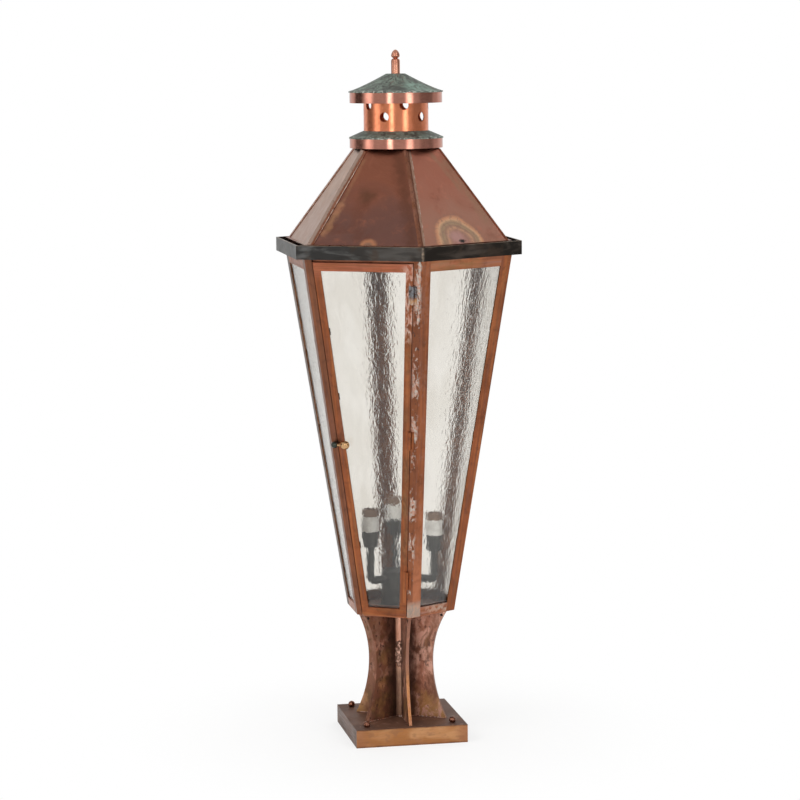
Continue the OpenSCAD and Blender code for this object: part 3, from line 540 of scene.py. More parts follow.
tube, tube_colour, tube_gloss, tube_relief = frame_copper(
    "tube_copper", TUBE_RED, TUBE_PINK, TUBE_DARK, TUBE_MAUVE
)
below_lumps = tube.fade(
    tube.plus(tube.axis("Z"), tube.times(tube.cloud(0.012, 4), 0.016)), 0.090, 0.112, 1.0, 0.0
)
tube_colour = tube.coat(
    tube.times(below_lumps, 0.75),
    tube_colour,
    tube.coat(tube.fade(tube.cloud(0.012, 5), 0.4, 0.62), TUBE_FOOT_TAN, TUBE_FOOT_BROWN),
)
# Painted highlight: the right half of the tube is painted pinker
tube_highlight_side = tube.fade(tube.axis("X"), -0.0020, 0.0010)
tube_colour = tube.coat(tube.times(tube_highlight_side, 0.7), tube_colour, TUBE_PAINTED_HIGHLIGHT)
dress(tube.surface(tube_colour, tube_gloss, 0.8, tube_relief, 0.0003), "pedestal_tube")

# Six fins, sawn from thick copper sheet, stand round the tube and carry the body. They are dark with oxide,
# with pink and golden patches from the torch, and their curved edges are filed bright. The fins on the left
# and at the back are painted darker than those on the right, as painted shade, and every fin is painted
# darker towards the tube, as painted shade in the valleys between the fins.
FIN_BROWN = shade(0.245, 0.106, 0.064)
FIN_RED = shade(0.56, 0.260, 0.175)
FIN_GOLD = shade(0.57, 0.305, 0.122)
FIN_OLIVE = shade(0.170, 0.092, 0.040)
FIN_PINK = shade(0.80, 0.46, 0.35)
FIN_DARK = shade(0.060, 0.032, 0.024)


def fin_copper(name, warmth_and_light, edge_low, edge_high, edge_cover):
    """Oxidised fin: a high warmth gives torch red and pink, a low one paints a shaded fin darker."""
    fin = Finish(name)
    broad = fin.cloud(0.030, 6, fin.drawn_out(1, 1, 1.5), swirl=1.0, rough=0.62)
    small = fin.cloud(0.010, 5, fin.drawn_out(1, 1, 1.6), swirl=0.3, rough=0.58)
    level = fin.axis("Z")
    colour = fin.coat(fin.fade(broad, 0.58 - 0.22 * warmth_and_light, 0.70 - 0.14 * warmth_and_light), FIN_BROWN, FIN_RED)
    colour = fin.coat(
        fin.fade(fin.cloud(0.020, 5, swirl=0.8), 0.48, 0.62, 0.0, 0.8),
        colour,
        fin.coat(warmth_and_light, FIN_OLIVE, FIN_BROWN),
    )
    low_down = fin.fade(level, 0.035, 0.105, 1.0, 0.0)
    golden = fin.plus(fin.cloud(0.035, 4, fin.drawn_out(1, 1, 1.6)), fin.times(low_down, 0.10))
    golden = fin.fade(golden, 0.52, 0.68, 0.0, 0.80)
    golden = fin.times(golden, fin.fade(level, 0.060, 0.135, 1.0, 0.25))
    colour = fin.coat(golden, colour, FIN_GOLD)
    spread_pink = fin.plus(broad, fin.times(fin.fade(level, 0.06, 0.13), 0.05))
    pink = fin.times(
        fin.fade(spread_pink, 0.48, 0.57), fin.fade(small, 0.42, 0.56, 0.0, 0.10 + 0.90 * warmth_and_light)
    )
    colour = fin.coat(pink, colour, FIN_PINK)
    up_high = fin.fade(level, 0.125, 0.165, 0.0, 0.60 * warmth_and_light)
    colour = fin.coat(up_high, colour, fin.coat(fin.fade(small, 0.42, 0.6), FIN_RED, FIN_PINK))
    scale = fin.times(
        fin.fade(fin.cloud(0.006, 5, fin.drawn_out(1, 1, 1.6), swirl=0.5), 0.55, 0.66),
        fin.fade(broad, 0.40, 0.55, 0.2, 0.9 - 0.3 * warmth_and_light),
    )
    colour = fin.coat(scale, colour, FIN_DARK)
    # Painted shade: each fin darkens towards the tube, in the valleys between the fins
    valley_shade = fin.plus(fin.vector("LENGTH", fin.outward())["Value"], fin.sway(small, 0.02))
    colour = fin.coat(fin.fade(valley_shade, 0.014, 0.032, 0.80, 0.0), colour, FIN_DARK)
    broadside = fin.vector("NORMALIZE", fin.vector("CROSS_PRODUCT", fin.place, (0, 0, 1))[0])[0]
    edge = fin.minus(1.0, fin.fade(fin.sum("ABSOLUTE", fin.facing(broadside)), 0.4, 0.8))
    filed = fin.coat(fin.fade(fin.plus(level, fin.sway(small, 0.03)), 0.070, 0.105), edge_low, edge_high)
    filed = fin.coat(fin.fade(small, 0.52, 0.66, 0.0, 0.6), filed, FIN_RED)
    colour = fin.coat(fin.times(edge, edge_cover), colour, filed)
    gloss = fin.fade(small, 0.3, 0.7, 0.30, 0.52)
    return fin.surface(
        colour, gloss, fin.fade(edge, 0.0, 1.0, 0.60, 1.0), fin.plus(small, fin.times(broad, 1.5)), 0.0006
    )


ORANGE_EDGE = shade(0.47, 0.205, 0.088)
ROSE_EDGE = shade(0.34, 0.165, 0.115)
RED_EDGE = shade(0.24, 0.105, 0.066)
dress(
    fin_copper("fin_copper_shaded", 0.10, RED_EDGE, RED_EDGE, 0.8),
    "pedestal_fin_5",
    "pedestal_fin_6",
    "pedestal_fin_4",
)
dress(fin_copper("fin_copper_warm", 0.9, RED_EDGE, RED_EDGE, 0.8), "pedestal_fin_2", "pedestal_fin_3")
dress(fin_copper("fin_copper_front", 0.7, ORANGE_EDGE, ROSE_EDGE, 0.95), "pedestal_fin_1")

# Soft solder holds the fins to the base and the tube to both. It lies in thin uneven beads along the fins'
# feet and in a ring round the foot of the tube.
TRAY_TOP = base_high.z
TUBE_RADIUS = 0.011
FIN_HALF = 0.002
FIN_FOOT_END = 0.061
FOOT_BEAD = 0.00075
RING_BEAD = 0.0011
RING_OUT = TUBE_RADIUS + 0.0002
SOLDER_OFF = 0.0001
SOLDER_GREY = shade(0.58, 0.50, 0.44)
SOLDER_PINK = shade(0.60, 0.34, 0.26)
SOLDER_PITS = shade(0.14, 0.080, 0.060)

tin = Finish("soft_solder")
tin_cloud = tin.cloud(0.004, 4)
tin_colour = tin.coat(tin.fade(tin_cloud, 0.42, 0.62), SOLDER_PINK, SOLDER_GREY)
tin_colour = tin.coat(tin.fade(tin.cloud(0.003, 4), 0.50, 0.60, 0.0, 0.85), tin_colour, SOLDER_PITS)
solder = tin.surface(tin_colour, tin.fade(tin_cloud, 0.3, 0.7, 0.25, 0.45), 0.9, tin_cloud, 0.0002)


def new_piece(name, points, faces, material):
    """A piece that this file adds to the lantern's fixed body."""
    mesh = bpy.data.meshes.new(name)
    mesh.from_pydata([tuple(p) for p in points], [], faces)
    mesh.polygons.foreach_set("use_smooth", [True] * len(mesh.polygons))
    mesh.materials.append(material)
    piece = bpy.data.objects.new(name, mesh)
    scene.collection.objects.link(piece)
    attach(piece, "lantern")
    return piece


def beads(name, runs, material, sides=8, uneven=0.5):
    """Uneven beads of solder. Each run is its path and its thickness, and thins out at both ends."""
    points, faces = [], []
    for path, thick in runs:
        path = [Vector(p) for p in path]
        first = len(points)
        for number, middle in enumerate(path):
            along = (path[min(number + 1, len(path) - 1)] - path[max(number - 1, 0)]).normalized()
            across = along.cross(Vector((0, 0, 1)))
            if across.length < 0.2:
                across = along.cross(Vector((1, 0, 0)))
            across.normalize()
            rise = across.cross(along)
            end = min(1.0, 0.2 + 6 * min(number, len(path) - 1 - number) / len(path))
            swell = 1 + uneven * noise.noise(middle * 260)
            for side in range(sides):
                turn = 2 * math.pi * side / sides
                out = across * math.cos(turn) + rise * math.sin(turn)
                rough = 1 + 0.3 * uneven * noise.noise((middle + out * thick) * 900)
                points.append(middle + out * thick * end * swell * rough)
        for number in range(len(path) - 1):
            for side in range(sides):
                a = first + number * sides + side
                b = first + number * sides + (side + 1) % sides
                faces.append((a, b, b + sides, a + sides))
        faces.append(tuple(first + side for side in reversed(range(sides))))
        faces.append(tuple(first + (len(path) - 1) * sides + side for side in range(sides)))
    return new_piece(name, points, faces, material)


def between(start, end, count):
    """Evenly spaced points on a straight line."""
    start, end = Vector(start), Vector(end)
    return [start.lerp(end, k / (count - 1)) for k in range(count)]


foot_runs = []
for number in range(6):
    angle = math.radians(-90 + 60 * number)
    outward = Vector((math.cos(angle), math.sin(angle), 0))
    sideways = Vector((-math.sin(angle), math.cos(angle), 0))
    for side in (-1, 1):
        start = outward * (TUBE_RADIUS + 0.002) + sideways * side * (FIN_HALF + SOLDER_OFF)
        end = outward * FIN_FOOT_END + sideways * side * (FIN_HALF + SOLDER_OFF)
        start.z = end.z = TRAY_TOP + SOLDER_OFF
        foot_runs.append((between(start, end, 60), FOOT_BEAD))
ring = []
for number in range(73):
    angle = math.radians(5 * number)
    ring.append((RING_OUT * math.cos(angle), RING_OUT * math.sin(angle), TRAY_TOP + 0.0003))
foot_runs.append((ring, RING_BEAD))
beads("fin_solder", foot_runs, solder)

# Where the fins meet the tube, half way up, the solder has run into a column of pitted pink lumps. They
# were left as they set.
LUMP_BROWN = shade(0.30, 0.170, 0.125)
LUMP_PINK = shade(0.80, 0.49, 0.37)

# Where each lump sits: its turn round the tube in degrees, its height and its size
TUBE_LUMPS = [
    (-116, 0.1220, 0.0040), (-104, 0.1170, 0.0034), (-126, 0.1140, 0.0036), (-112, 0.1090, 0.0044),
    (-100, 0.1040, 0.0032), (-121, 0.1015, 0.0040), (-108, 0.0965, 0.0036), (-134, 0.1075, 0.0030),
]


def lump(centre, size, flat, rows=9, columns=14):
    """A rough ball of solder, flattened towards the tube's axis."""
    points, faces = [], []
    inward = Vector((centre.x, centre.y, 0)).normalized()
    for row in range(rows + 1):
        tilt = math.pi * row / rows
        for column in range(columns):
            turn = 2 * math.pi * column / columns
            out = Vector(
                (math.sin(tilt) * math.cos(turn), math.sin(tilt) * math.sin(turn), 1.25 * math.cos(tilt))
            )
            out = out - inward * out.dot(inward) * (1 - flat)
            swell = 1 + 0.55 * noise.noise((centre + out * size) * 420)
            points.append(centre + out * size * swell)
    for row in range(rows):
        for column in range(columns):
            a, b = row * columns + column, row * columns + (column + 1) % columns
            faces.append((a, a + columns, b + columns, b))
    return points, faces


all_points, all_faces = [], []
for turn, level, size in TUBE_LUMPS:
    angle = math.radians(turn)
    centre = Vector((TUBE_RADIUS * math.cos(angle), TUBE_RADIUS * math.sin(angle), level))
    lump_points, lump_faces = lump(centre, size, 0.55)
    all_faces += [tuple(len(all_points) + corner for corner in face) for face in lump_faces]
    all_points += lump_points
lumps = Finish("tube_solder")
lump_cloud = lumps.cloud(0.0035, 4)
lump_colour = lumps.coat(lumps.fade(lump_cloud, 0.42, 0.60), LUMP_BROWN, LUMP_PINK)
new_piece(
    "tube_solder",
    all_points,
    all_faces,
    lumps.surface(lump_colour, lumps.fade(lump_cloud, 0.3, 0.7, 0.55, 0.38), 0.8, lump_cloud, 0.0003),
)

# A near-black plug fills the small hole near the top of each fin and stands just proud of both sides of the
# sheet. Its black is the painted shadow in the hole.
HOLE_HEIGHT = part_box("pedestal_fin_1")[1].z - 0.0046
HOLE_OUT = 0.0585
HOLE_RADIUS = 0.00183
HOLE_PLUG_HALF = 0.00235
HOLE_CORNERS = 16
HOLE_SHADOW_BLACK = shade(0.030, 0.022, 0.020)
HOLE_SHADOW_BROWN = shade(0.075, 0.048, 0.040)

hole_plug_points, hole_plug_faces = [], []
for number in range(6):
    angle = math.radians(-90 + 60 * number)
    outward = Vector((math.cos(angle), math.sin(angle), 0))
    sideways = Vector((-math.sin(angle), math.cos(angle), 0))
    first = len(hole_plug_points)
    for along in (-1, 1):
        for corner in range(HOLE_CORNERS):
            turn = 2 * math.pi * corner / HOLE_CORNERS
            rim = outward * math.cos(turn) * HOLE_RADIUS + Vector((0, 0, math.sin(turn) * HOLE_RADIUS))
            hole_plug_points.append(
                outward * HOLE_OUT + Vector((0, 0, HOLE_HEIGHT)) + sideways * along * HOLE_PLUG_HALF + rim
            )
    for corner in range(HOLE_CORNERS):
        a, b = first + corner, first + (corner + 1) % HOLE_CORNERS
        hole_plug_faces.append((a, b, b + HOLE_CORNERS, a + HOLE_CORNERS))
    hole_plug_faces.append(tuple(first + corner for corner in reversed(range(HOLE_CORNERS))))
    hole_plug_faces.append(tuple(first + HOLE_CORNERS + corner for corner in range(HOLE_CORNERS)))
hole_shadow = Finish("fin_hole_shadow")
hole_shadow_cloud = hole_shadow.cloud(0.001, 3)
hole_shadow_colour = hole_shadow.coat(hole_shadow_cloud, HOLE_SHADOW_BLACK, HOLE_SHADOW_BROWN)
new_piece(
    "fin_hole_shadows", hole_plug_points, hole_plug_faces, hole_shadow.surface(hole_shadow_colour, 0.45, 0.7, hole_shadow_cloud, 0.00005)
)

# The cap plate on the fins, the rails between the posts and the top ring are bent from copper sheet and
# soldered in place. Torch heat has coloured the top rail beside the front post, and flux has run over the
# bottom rail.
RAIL_BROWN = shade(0.32, 0.118, 0.068)
RAIL_RED = shade(0.42, 0.160, 0.085)
RAIL_MAUVE = shade(0.40, 0.22, 0.175)
HEAT_OLIVE = shade(0.36, 0.190, 0.076)
HEAT_ORANGE = shade(0.54, 0.190, 0.082)
FLUX_PINK = shade(0.50, 0.27, 0.19)
FLUX_GREY = shade(0.50, 0.36, 0.28)

rails, rail_colour, rail_gloss, rail_relief = frame_copper(
    "rail_copper", RAIL_BROWN, RAIL_RED, FRAME_DARK, RAIL_MAUVE, False
)
# Both ends of the torch's stain, and both ends of the smear of flux
TINT_LEFT, TINT_RIGHT = (0.0158, -0.1473, 0.640), (0.0851, -0.1073, 0.640)
SMEAR_LEFT, SMEAR_RIGHT = (0.0278, -0.0614, 0.1824), (0.0527, -0.0464, 0.1781)
tint = rails.line(TINT_LEFT, TINT_RIGHT, 0.018, 0.5)
heat = rails.fade(rails.cloud(0.006, 4, rails.drawn_out(3, 3, 1), swirl=0.6), 0.35, 0.65)
rail_colour = rails.coat(rails.times(tint, 0.55), rail_colour, rails.coat(heat, HEAT_OLIVE, HEAT_ORANGE))
flux = rails.times(
    rails.line(SMEAR_LEFT, SMEAR_RIGHT, 0.013, 0.7),
    rails.fade(rails.cloud(0.005, 5, swirl=0.6), 0.42, 0.58),
)
rail_colour = rails.coat(flux, rail_colour, rails.coat(heat, FLUX_PINK, FLUX_GREY))
dress(
    rails.surface(rail_colour, rail_gloss, 1.0, rail_relief, 0.00018),
    "bottom_rails",
    "top_rails",
    "top_ring",
    "pedestal_cap_plate",
)

# The floor of the body is a copper pan with its edges turned up behind the rails. Spring clips of the same
# dark sheet are soldered behind the panes and hold them.
PAN_BROWN = shade(0.16, 0.075, 0.05)
PAN_RED = shade(0.22, 0.10, 0.065)
PAN_DARK = shade(0.08, 0.045, 0.035)
PAN_MAUVE = shade(0.18, 0.11, 0.09)

dark_frame, dark_colour, dark_gloss, dark_relief = frame_copper(
    "dark_copper", PAN_BROWN, PAN_RED, PAN_DARK, PAN_MAUVE
)
dress(
    dark_frame.surface(dark_colour, dark_gloss, 1.0, dark_relief, 0.0002),
    "body_floor",
    "glass_clips",
    "door_clips",
)

# Six corner posts, folded lengthwise from copper sheet, lean outwards from the floor to the top ring. Their
# edges are soldered to the rails. Three of them have aged to red-brown.
posts, post_colour, post_gloss, post_relief = frame_copper(
    "frame_copper", FRAME_BROWN, FRAME_RED, FRAME_DARK, FRAME_MAUVE
)
dress(
    posts.surface(post_colour, post_gloss, 1.0, post_relief, 0.00018),
    "corner_post_2", "corner_post_3", "corner_post_4",
)

# The post beside the latch is browner, and the one to its left has gone grey
OLD_BROWN = shade(0.195, 0.079, 0.044)
OLD_RED = shade(0.262, 0.102, 0.055)
OLD_DARK = shade(0.105, 0.050, 0.036)

old_posts, old_colour, old_gloss, old_relief = frame_copper(
    "old_frame_copper", OLD_BROWN, OLD_RED, OLD_DARK, FRAME_MAUVE
)
dress(old_posts.surface(old_colour, old_gloss, 1.0, old_relief, 0.00018), "corner_post_6")

GREYED_BROWN = shade(0.125, 0.080, 0.062)
GREYED_LIGHT = shade(0.205, 0.120, 0.085)
GREYED_DARK = shade(0.060, 0.050, 0.044)
GREYED_BLOOM = shade(0.170, 0.130, 0.115)

grey_post, grey_colour, grey_gloss, grey_relief = frame_copper(
    "greyed_frame_copper", GREYED_BROWN, GREYED_LIGHT, GREYED_DARK, GREYED_BLOOM
)
dress(grey_post.surface(grey_colour, grey_gloss, 1.0, grey_relief, 0.00018), "corner_post_5")

# The front post carries the hinges. Its hinge side is smeared with pink and grey solder from top to bottom,
# its hinge-side leg is painted darker as painted shade beside the hinges, and its foot is washed pale.
FRONT_BROWN = shade(0.275, 0.092, 0.041)
FRONT_RED = shade(0.370, 0.122, 0.054)
FRONT_LOW_ORANGE = shade(0.54, 0.205, 0.105)
FRONT_LOW_BROWN = shade(0.40, 0.150, 0.080)
HINGE_LEG_BROWN = shade(0.22, 0.085, 0.045)
SMEAR_GREY = shade(0.60, 0.54, 0.48)
SCORCHED = shade(0.050, 0.045, 0.045)
FOOT_PINK = shade(0.56, 0.37, 0.28)
FOOT_GREY = shade(0.42, 0.345, 0.29)

# Where solder has run down the hinge side: the lower and the upper end, and how thick it lies
SOLDER_RUNS = [
    (0.565, 0.648, 1.0),
    (0.470, 0.508, 1.0),
    (0.408, 0.441, 0.9),
    (0.386, 0.396, 0.7),
    (0.305, 0.334, 1.0),
    (0.252, 0.284, 0.8),
]
POST_FOOT = (0.004, -0.076, 0.176)

front, front_copper, front_gloss, front_relief = frame_copper(
    "front_post_copper", FRONT_BROWN, FRONT_RED, FRAME_DARK, FRAME_MAUVE
)
lower_half = front.fade(front.axis("Z"), 0.190, 0.360, 0.75, 0.0)
front_copper = front.coat(
    lower_half,
    front_copper,
    front.coat(front.fade(front.cloud(0.009, 5), 0.40, 0.62), FRONT_LOW_ORANGE, FRONT_LOW_BROWN),
)
left_leg = front.fade(front.axis("X"), 0.0, 0.0016, 1.0, 0.0)
middle_of_leg = front.fade(
    front.sum("ABSOLUTE", front.minus(front.axis("X"), -0.0022)), 0.0012, 0.0060, 1.0, 0.0
)
# Painted shade: the hinge-side leg is darkened beside the hinges and the door's gap
front_copper = front.coat(
    front.times(left_leg, 0.55),
    front_copper,
    front.coat(front.fade(front.cloud(0.010, 4), 0.4, 0.6), FRAME_DARK, HINGE_LEG_BROWN),
)
splash = front.cloud(0.0055, 5, front.drawn_out(1, 1, 2.0), swirl=0.9)
near_runs = None
for low, high, strength in SOLDER_RUNS:
    inside = front.times(
        front.fade(front.axis("Z"), low - 0.008, low + 0.006),
        front.fade(front.axis("Z"), high - 0.006, high + 0.008, strength, 0.0),
    )
    near_runs = inside if near_runs is None else front.sum("MAXIMUM", near_runs, inside)
amount = front.plus(splash, front.minus(front.times(near_runs, 0.16), 0.06))
smear = front.times(front.fade(amount, 0.52, 0.60), front.plus(front.times(middle_of_leg, 0.85), 0.06))
tone = front.fade(front.cloud(0.0035, 3), 0.44, 0.58)
smear_colour = front.coat(tone, SOLDER_PINK, SMEAR_GREY)
smear_dark = front.times(front.fade(front.cloud(0.004, 4), 0.60, 0.68), front.times(left_leg, 0.8))
pale = front.near(POST_FOOT, 0.024, 0.6, 0.9, (1.3, 1.3, 0.9))
front_copper = front.coat(smear_dark, front_copper, SCORCHED)
front_copper = front.coat(smear, front_copper, smear_colour)
foot_tone = front.coat(front.fade(front.cloud(0.005, 5, swirl=0.5), 0.40, 0.60), FOOT_PINK, FOOT_GREY)
front_copper = front.coat(front.times(pale, 0.85), front_copper, foot_tone)
front_gloss = front.plus(front_gloss, front.times(smear, 0.06))
dress(
    front.surface(
        front_copper, front_gloss, 1.0, front.plus(front_relief, front.times(smear, 2.0)), 0.00035
    ),
    "corner_post_1",
)

# The panes are clear seeded glass, 3 mm thick, with rolled ripples that run up and down and small bubbles.
# They stand behind the posts and the rails, and the door has one of its own.
GLASS_TINT = shade(0.915, 0.897, 0.862)
GLASS_CLOUD = shade(0.850, 0.825, 0.780)
glass = Finish("seeded_glass")
ripple = glass.cloud(0.0052, 2.5, glass.drawn_out(1, 1, 2.4), swirl=0.5)
fine_ripple = glass.cloud(0.0020, 2, glass.drawn_out(1, 1, 1.5))
seeds = glass.nodes.new("ShaderNodeTexVoronoi")
seeds.inputs["Scale"].default_value = 110
seeds.inputs["Randomness"].default_value = 1
glass.links.new(glass.drawn_out(1, 1, 1.7), seeds.inputs["Vector"])
bubbles = glass.fade(seeds.outputs["Distance"], 0.10, 0.24, 1.0, 0.0)
waves = glass.plus(glass.times(ripple, 1.0), glass.times(fine_ripple, 0.30))
waves = glass.plus(waves, glass.times(bubbles, 0.06))
glass.shader.inputs["Transmission Weight"].default_value = 1.0
glass.shader.inputs["IOR"].default_value = 1.48
glass_cloud = glass.cloud(0.045, 3, glass.drawn_out(1, 1, 2.5))
glass_colour = glass.coat(glass.fade(glass_cloud, 0.42, 0.62), GLASS_TINT, GLASS_CLOUD)
glass_material = glass.surface(glass_colour, 0.02, 0.0, waves, 0.00034)
PANES = [f"glass_pane_{i}" for i in range(1, 6)] + ["door_glass"]
dress(glass_material, *PANES)
# Clear panes throw no shadow worth seeing
for name in PANES:
    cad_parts[name].visible_shadow = False

# The door is a frame of folded copper, soldered at its corners. The stile beside the hinges has pink solder
# in its upper third and brown-olive heat colours below.
DOOR_TOP_RED = shade(0.52, 0.165, 0.100)
DOOR_TOP_BROWN = shade(0.36, 0.125, 0.070)
DOOR_SOLDER_PALE = shade(0.60, 0.45, 0.38)
STILE_BROWN = shade(0.150, 0.072, 0.040)
STILE_OLIVE = shade(0.255, 0.130, 0.062)

door, door_colour, door_gloss, door_relief = frame_copper(
    "door_copper", FRAME_BROWN, FRAME_RED, FRAME_DARK, FRAME_MAUVE, "both"
)
door_top = door.fade(door.axis("Z"), 0.618, 0.634, 0.0, 0.55)
door_colour = door.coat(
    door_top,
    door_colour,
    door.coat(
        door.fade(door.cloud(0.0020, 3, door.drawn_out(20, 20, 1)), 0.42, 0.58),
        DOOR_TOP_RED,
        DOOR_TOP_BROWN,
    ),
)
# Three places on the middle line of that stile, from its top down
HINGE_STILE_TOP = (-0.0125, -0.1487, 0.6370)
HINGE_STILE_MIDDLE = (-0.0121, -0.1340, 0.5500)
HINGE_STILE_FOOT = (-0.0115, -0.0830, 0.2480)
stile_top = door.line(HINGE_STILE_TOP, HINGE_STILE_MIDDLE, 0.014, 0.5)
stile_specks = door.cloud(0.006, 5, door.drawn_out(1, 1, 2), swirl=0.7)
stile_smear = door.times(stile_top, door.fade(stile_specks, 0.42, 0.56))
door_colour = door.coat(
    stile_smear,
    door_colour,
    door.coat(door.fade(door.cloud(0.004, 3), 0.45, 0.6), SOLDER_PINK, DOOR_SOLDER_PALE),
)
stile_low = door.times(
    door.line(HINGE_STILE_MIDDLE, HINGE_STILE_FOOT, 0.0085, 0.6),
    door.fade(door.cloud(0.016, 5, door.drawn_out(1, 1, 2.5)), 0.40, 0.60, 0.15, 0.75),
)
door_colour = door.coat(
    stile_low, door_colour, door.coat(door.fade(stile_specks, 0.40, 0.60), STILE_BROWN, STILE_OLIVE)
)
dress(door.surface(door_colour, door_gloss, 1.0, door_relief, 0.00018), "door_frame")

# Three hinges carry the door, each with two rolled copper leaves, soldered on, and a brass pin. The top
# hinge is painted black, as painted shade in its gap, with patches of blue heat tint, and torch heat has
# left an orange stain under it.
GAP_SHADE_BLACK = shade(0.060, 0.058, 0.060)
TORCH_BLUE = shade(0.21, 0.24, 0.26)
TORCH_ORANGE = shade(0.58, 0.33, 0.15)
TORCH_PALE = shade(0.55, 0.42, 0.34)

hinges, hinge_colour, hinge_gloss, hinge_relief = frame_copper(
    "hinge_copper", FRAME_BROWN, FRAME_RED, FRAME_DARK, FRAME_MAUVE
)
hinge_tone = hinges.fade(hinges.cloud(0.004, 4), 0.42, 0.58)
# Painted shade: the top hinge is painted black where its gap is dark, mixed with blue heat tint
gap_shade_and_heat_tint = hinges.fade(hinges.axis("Z"), 0.596, 0.604, 0.0, 0.85)
stained = hinges.times(
    hinges.fade(hinges.axis("Z"), 0.580, 0.588), hinges.fade(hinges.axis("Z"), 0.596, 0.602, 0.8, 0.0)
)
hinge_colour = hinges.coat(gap_shade_and_heat_tint, hinge_colour, hinges.coat(hinge_tone, GAP_SHADE_BLACK, TORCH_BLUE))
hinge_colour = hinges.coat(stained, hinge_colour, hinges.coat(hinge_tone, TORCH_ORANGE, TORCH_PALE))
dress(
    hinges.surface(hinge_colour, hinge_gloss, 1.0, hinge_relief, 0.00018),
    "post_hinge_leaves",
    "door_hinge_leaves",
)

BRASS_BRIGHT = shade(0.66, 0.40, 0.20)
BRASS_DULL = shade(0.44, 0.25, 0.12)

brass = Finish("turned_brass")
turning = brass.cloud(0.0016, 3)
brass_colour = brass.coat(brass.fade(turning, 0.4, 0.7), BRASS_BRIGHT, BRASS_DULL)
brass.surface(brass_colour, brass.fade(turning, 0.3, 0.7, 0.10, 0.24), 1.0, turning, 0.00002)
dress(brass.material, "hinge_pins")

# Two thin copper stops are soldered behind the posts on either side of the door. They cover the seams, so
# that no light shows through them.

# The door's face: its turn and its lean, the length of its slope, and how far out and how high its foot is
FACE_TURN = math.radians(240)
FACE_LEAN = math.radians(8.507)
FACE_LENGTH = 0.4818
FACE_FOOT = (0.065558, 0.172)
STOP_DEPTH = (0.00162, 0.00190)
STOP_ENDS = (0.012, FACE_LENGTH - 0.010)
STOP_EDGES = (0.0020, -0.0024)
# How wide the face and the legs of the posts beside it are at the foot, and how much wider at the top
FACE_WIDTH, FACE_GROWS = 0.0757, 0.0823
LEG_WIDTH, LEG_GROWS = 0.0065, 0.003


def on_door_face(across, up, out):
    """A point by the face of the door: across it, up its slope, and out from it."""
    x = FACE_FOOT[0] + up * math.sin(FACE_LEAN) + out * math.cos(FACE_LEAN)
    z = FACE_FOOT[1] + up * math.cos(FACE_LEAN) - out * math.sin(FACE_LEAN)
    return Vector(
        (
            x * math.cos(FACE_TURN) - across * math.sin(FACE_TURN),
            x * math.sin(FACE_TURN) + across * math.cos(FACE_TURN),
            z,
        )
    )


def seam_across(up):
    """How far to the side of the middle of the face its seam runs, at a height up the slope."""
    share = up / FACE_LENGTH
    return (FACE_WIDTH + FACE_GROWS * share) / 2 - LEG_WIDTH - LEG_GROWS * share


stop_points, stop_faces = [], []
for side in (-1, 1):
    first = len(stop_points)
    for up in STOP_ENDS:
        for depth in STOP_DEPTH:
            for edge_at in STOP_EDGES:
                stop_points.append(on_door_face(side * (seam_across(up) + edge_at), up, -depth))
    for face in ((0, 1, 3, 2), (4, 6, 7, 5), (0, 4, 5, 1), (2, 3, 7, 6), (0, 2, 6, 4), (1, 5, 7, 3)):
        stop_faces.append(tuple(first + corner for corner in face))
stops = new_piece("door_stops", stop_points, stop_faces, dark_frame.material)
stops.data.polygons.foreach_set("use_smooth", [False] * len(stops.data.polygons))

# The latch is a brass rod through the stile, with a ball outside and a flat tongue inside. A second, smaller
# ball on its handle is nearly black.
BALL_BLACK = shade(0.030, 0.040, 0.035)
BALL_GREEN = shade(0.07, 0.075, 0.06)

black_ball = Finish("nearly_black_ball")
ball_mottle = black_ball.cloud(0.002, 3)
black_colour = black_ball.coat(ball_mottle, BALL_BLACK, BALL_GREEN)
dress(brass.material, "latch_handle", "latch_tongue")
dress(black_ball.surface(black_colour, 0.2, 0.9, ball_mottle, 0.00005), "latch_dark_ball")

# The lamp cluster is a steel drum on the floor with three bent arms, and each arm ends in a cup. All of it
# is under matt black paint.
PAINT_BLACK = shade(0.030, 0.030, 0.028)
PAINT_DUST = shade(0.060, 0.058, 0.054)

paint = Finish("matt_black")
dust = paint.cloud(0.010, 4)
paint_colour = paint.coat(paint.fade(dust, 0.4, 0.7), PAINT_BLACK, PAINT_DUST)
dress(paint.surface(paint_colour, 0.55, 0.0, dust, 0.0001), "cluster_body", "cluster_arms", "lamp_cups")

# Each cup holds a porcelain insulator, with a screw shell of pressed brass inside it. The porcelain is
# grey-white and slightly dull.
PORCELAIN_WHITE = shade(0.80, 0.80, 0.78)
PORCELAIN_GREY = shade(0.62, 0.61, 0.58)

porcelain = Finish("porcelain")
glaze = porcelain.cloud(0.008, 4)
porcelain_colour = porcelain.coat(porcelain.fade(glaze, 0.4, 0.7), PORCELAIN_WHITE, PORCELAIN_GREY)
dress(porcelain.surface(porcelain_colour, 0.45, 0.0, glaze, 0.0001), "lamp_insulators")
dress(brass.material, "lamp_shells")

# A ring of brown moulded resin lies on the top of each insulator. It screws down over the shell and clamps
# the insulator to its cup.
MOULDING_DARK = shade(0.16, 0.095, 0.060)
MOULDING_BROWN = shade(0.24, 0.15, 0.10)

moulded = Finish("brown_moulding")
grain = moulded.cloud(0.004, 3)
moulded_colour = moulded.coat(grain, MOULDING_DARK, MOULDING_BROWN)
dress(moulded.surface(moulded_colour, 0.5, 0.0, grain, 0.0001), "lamp_rings")

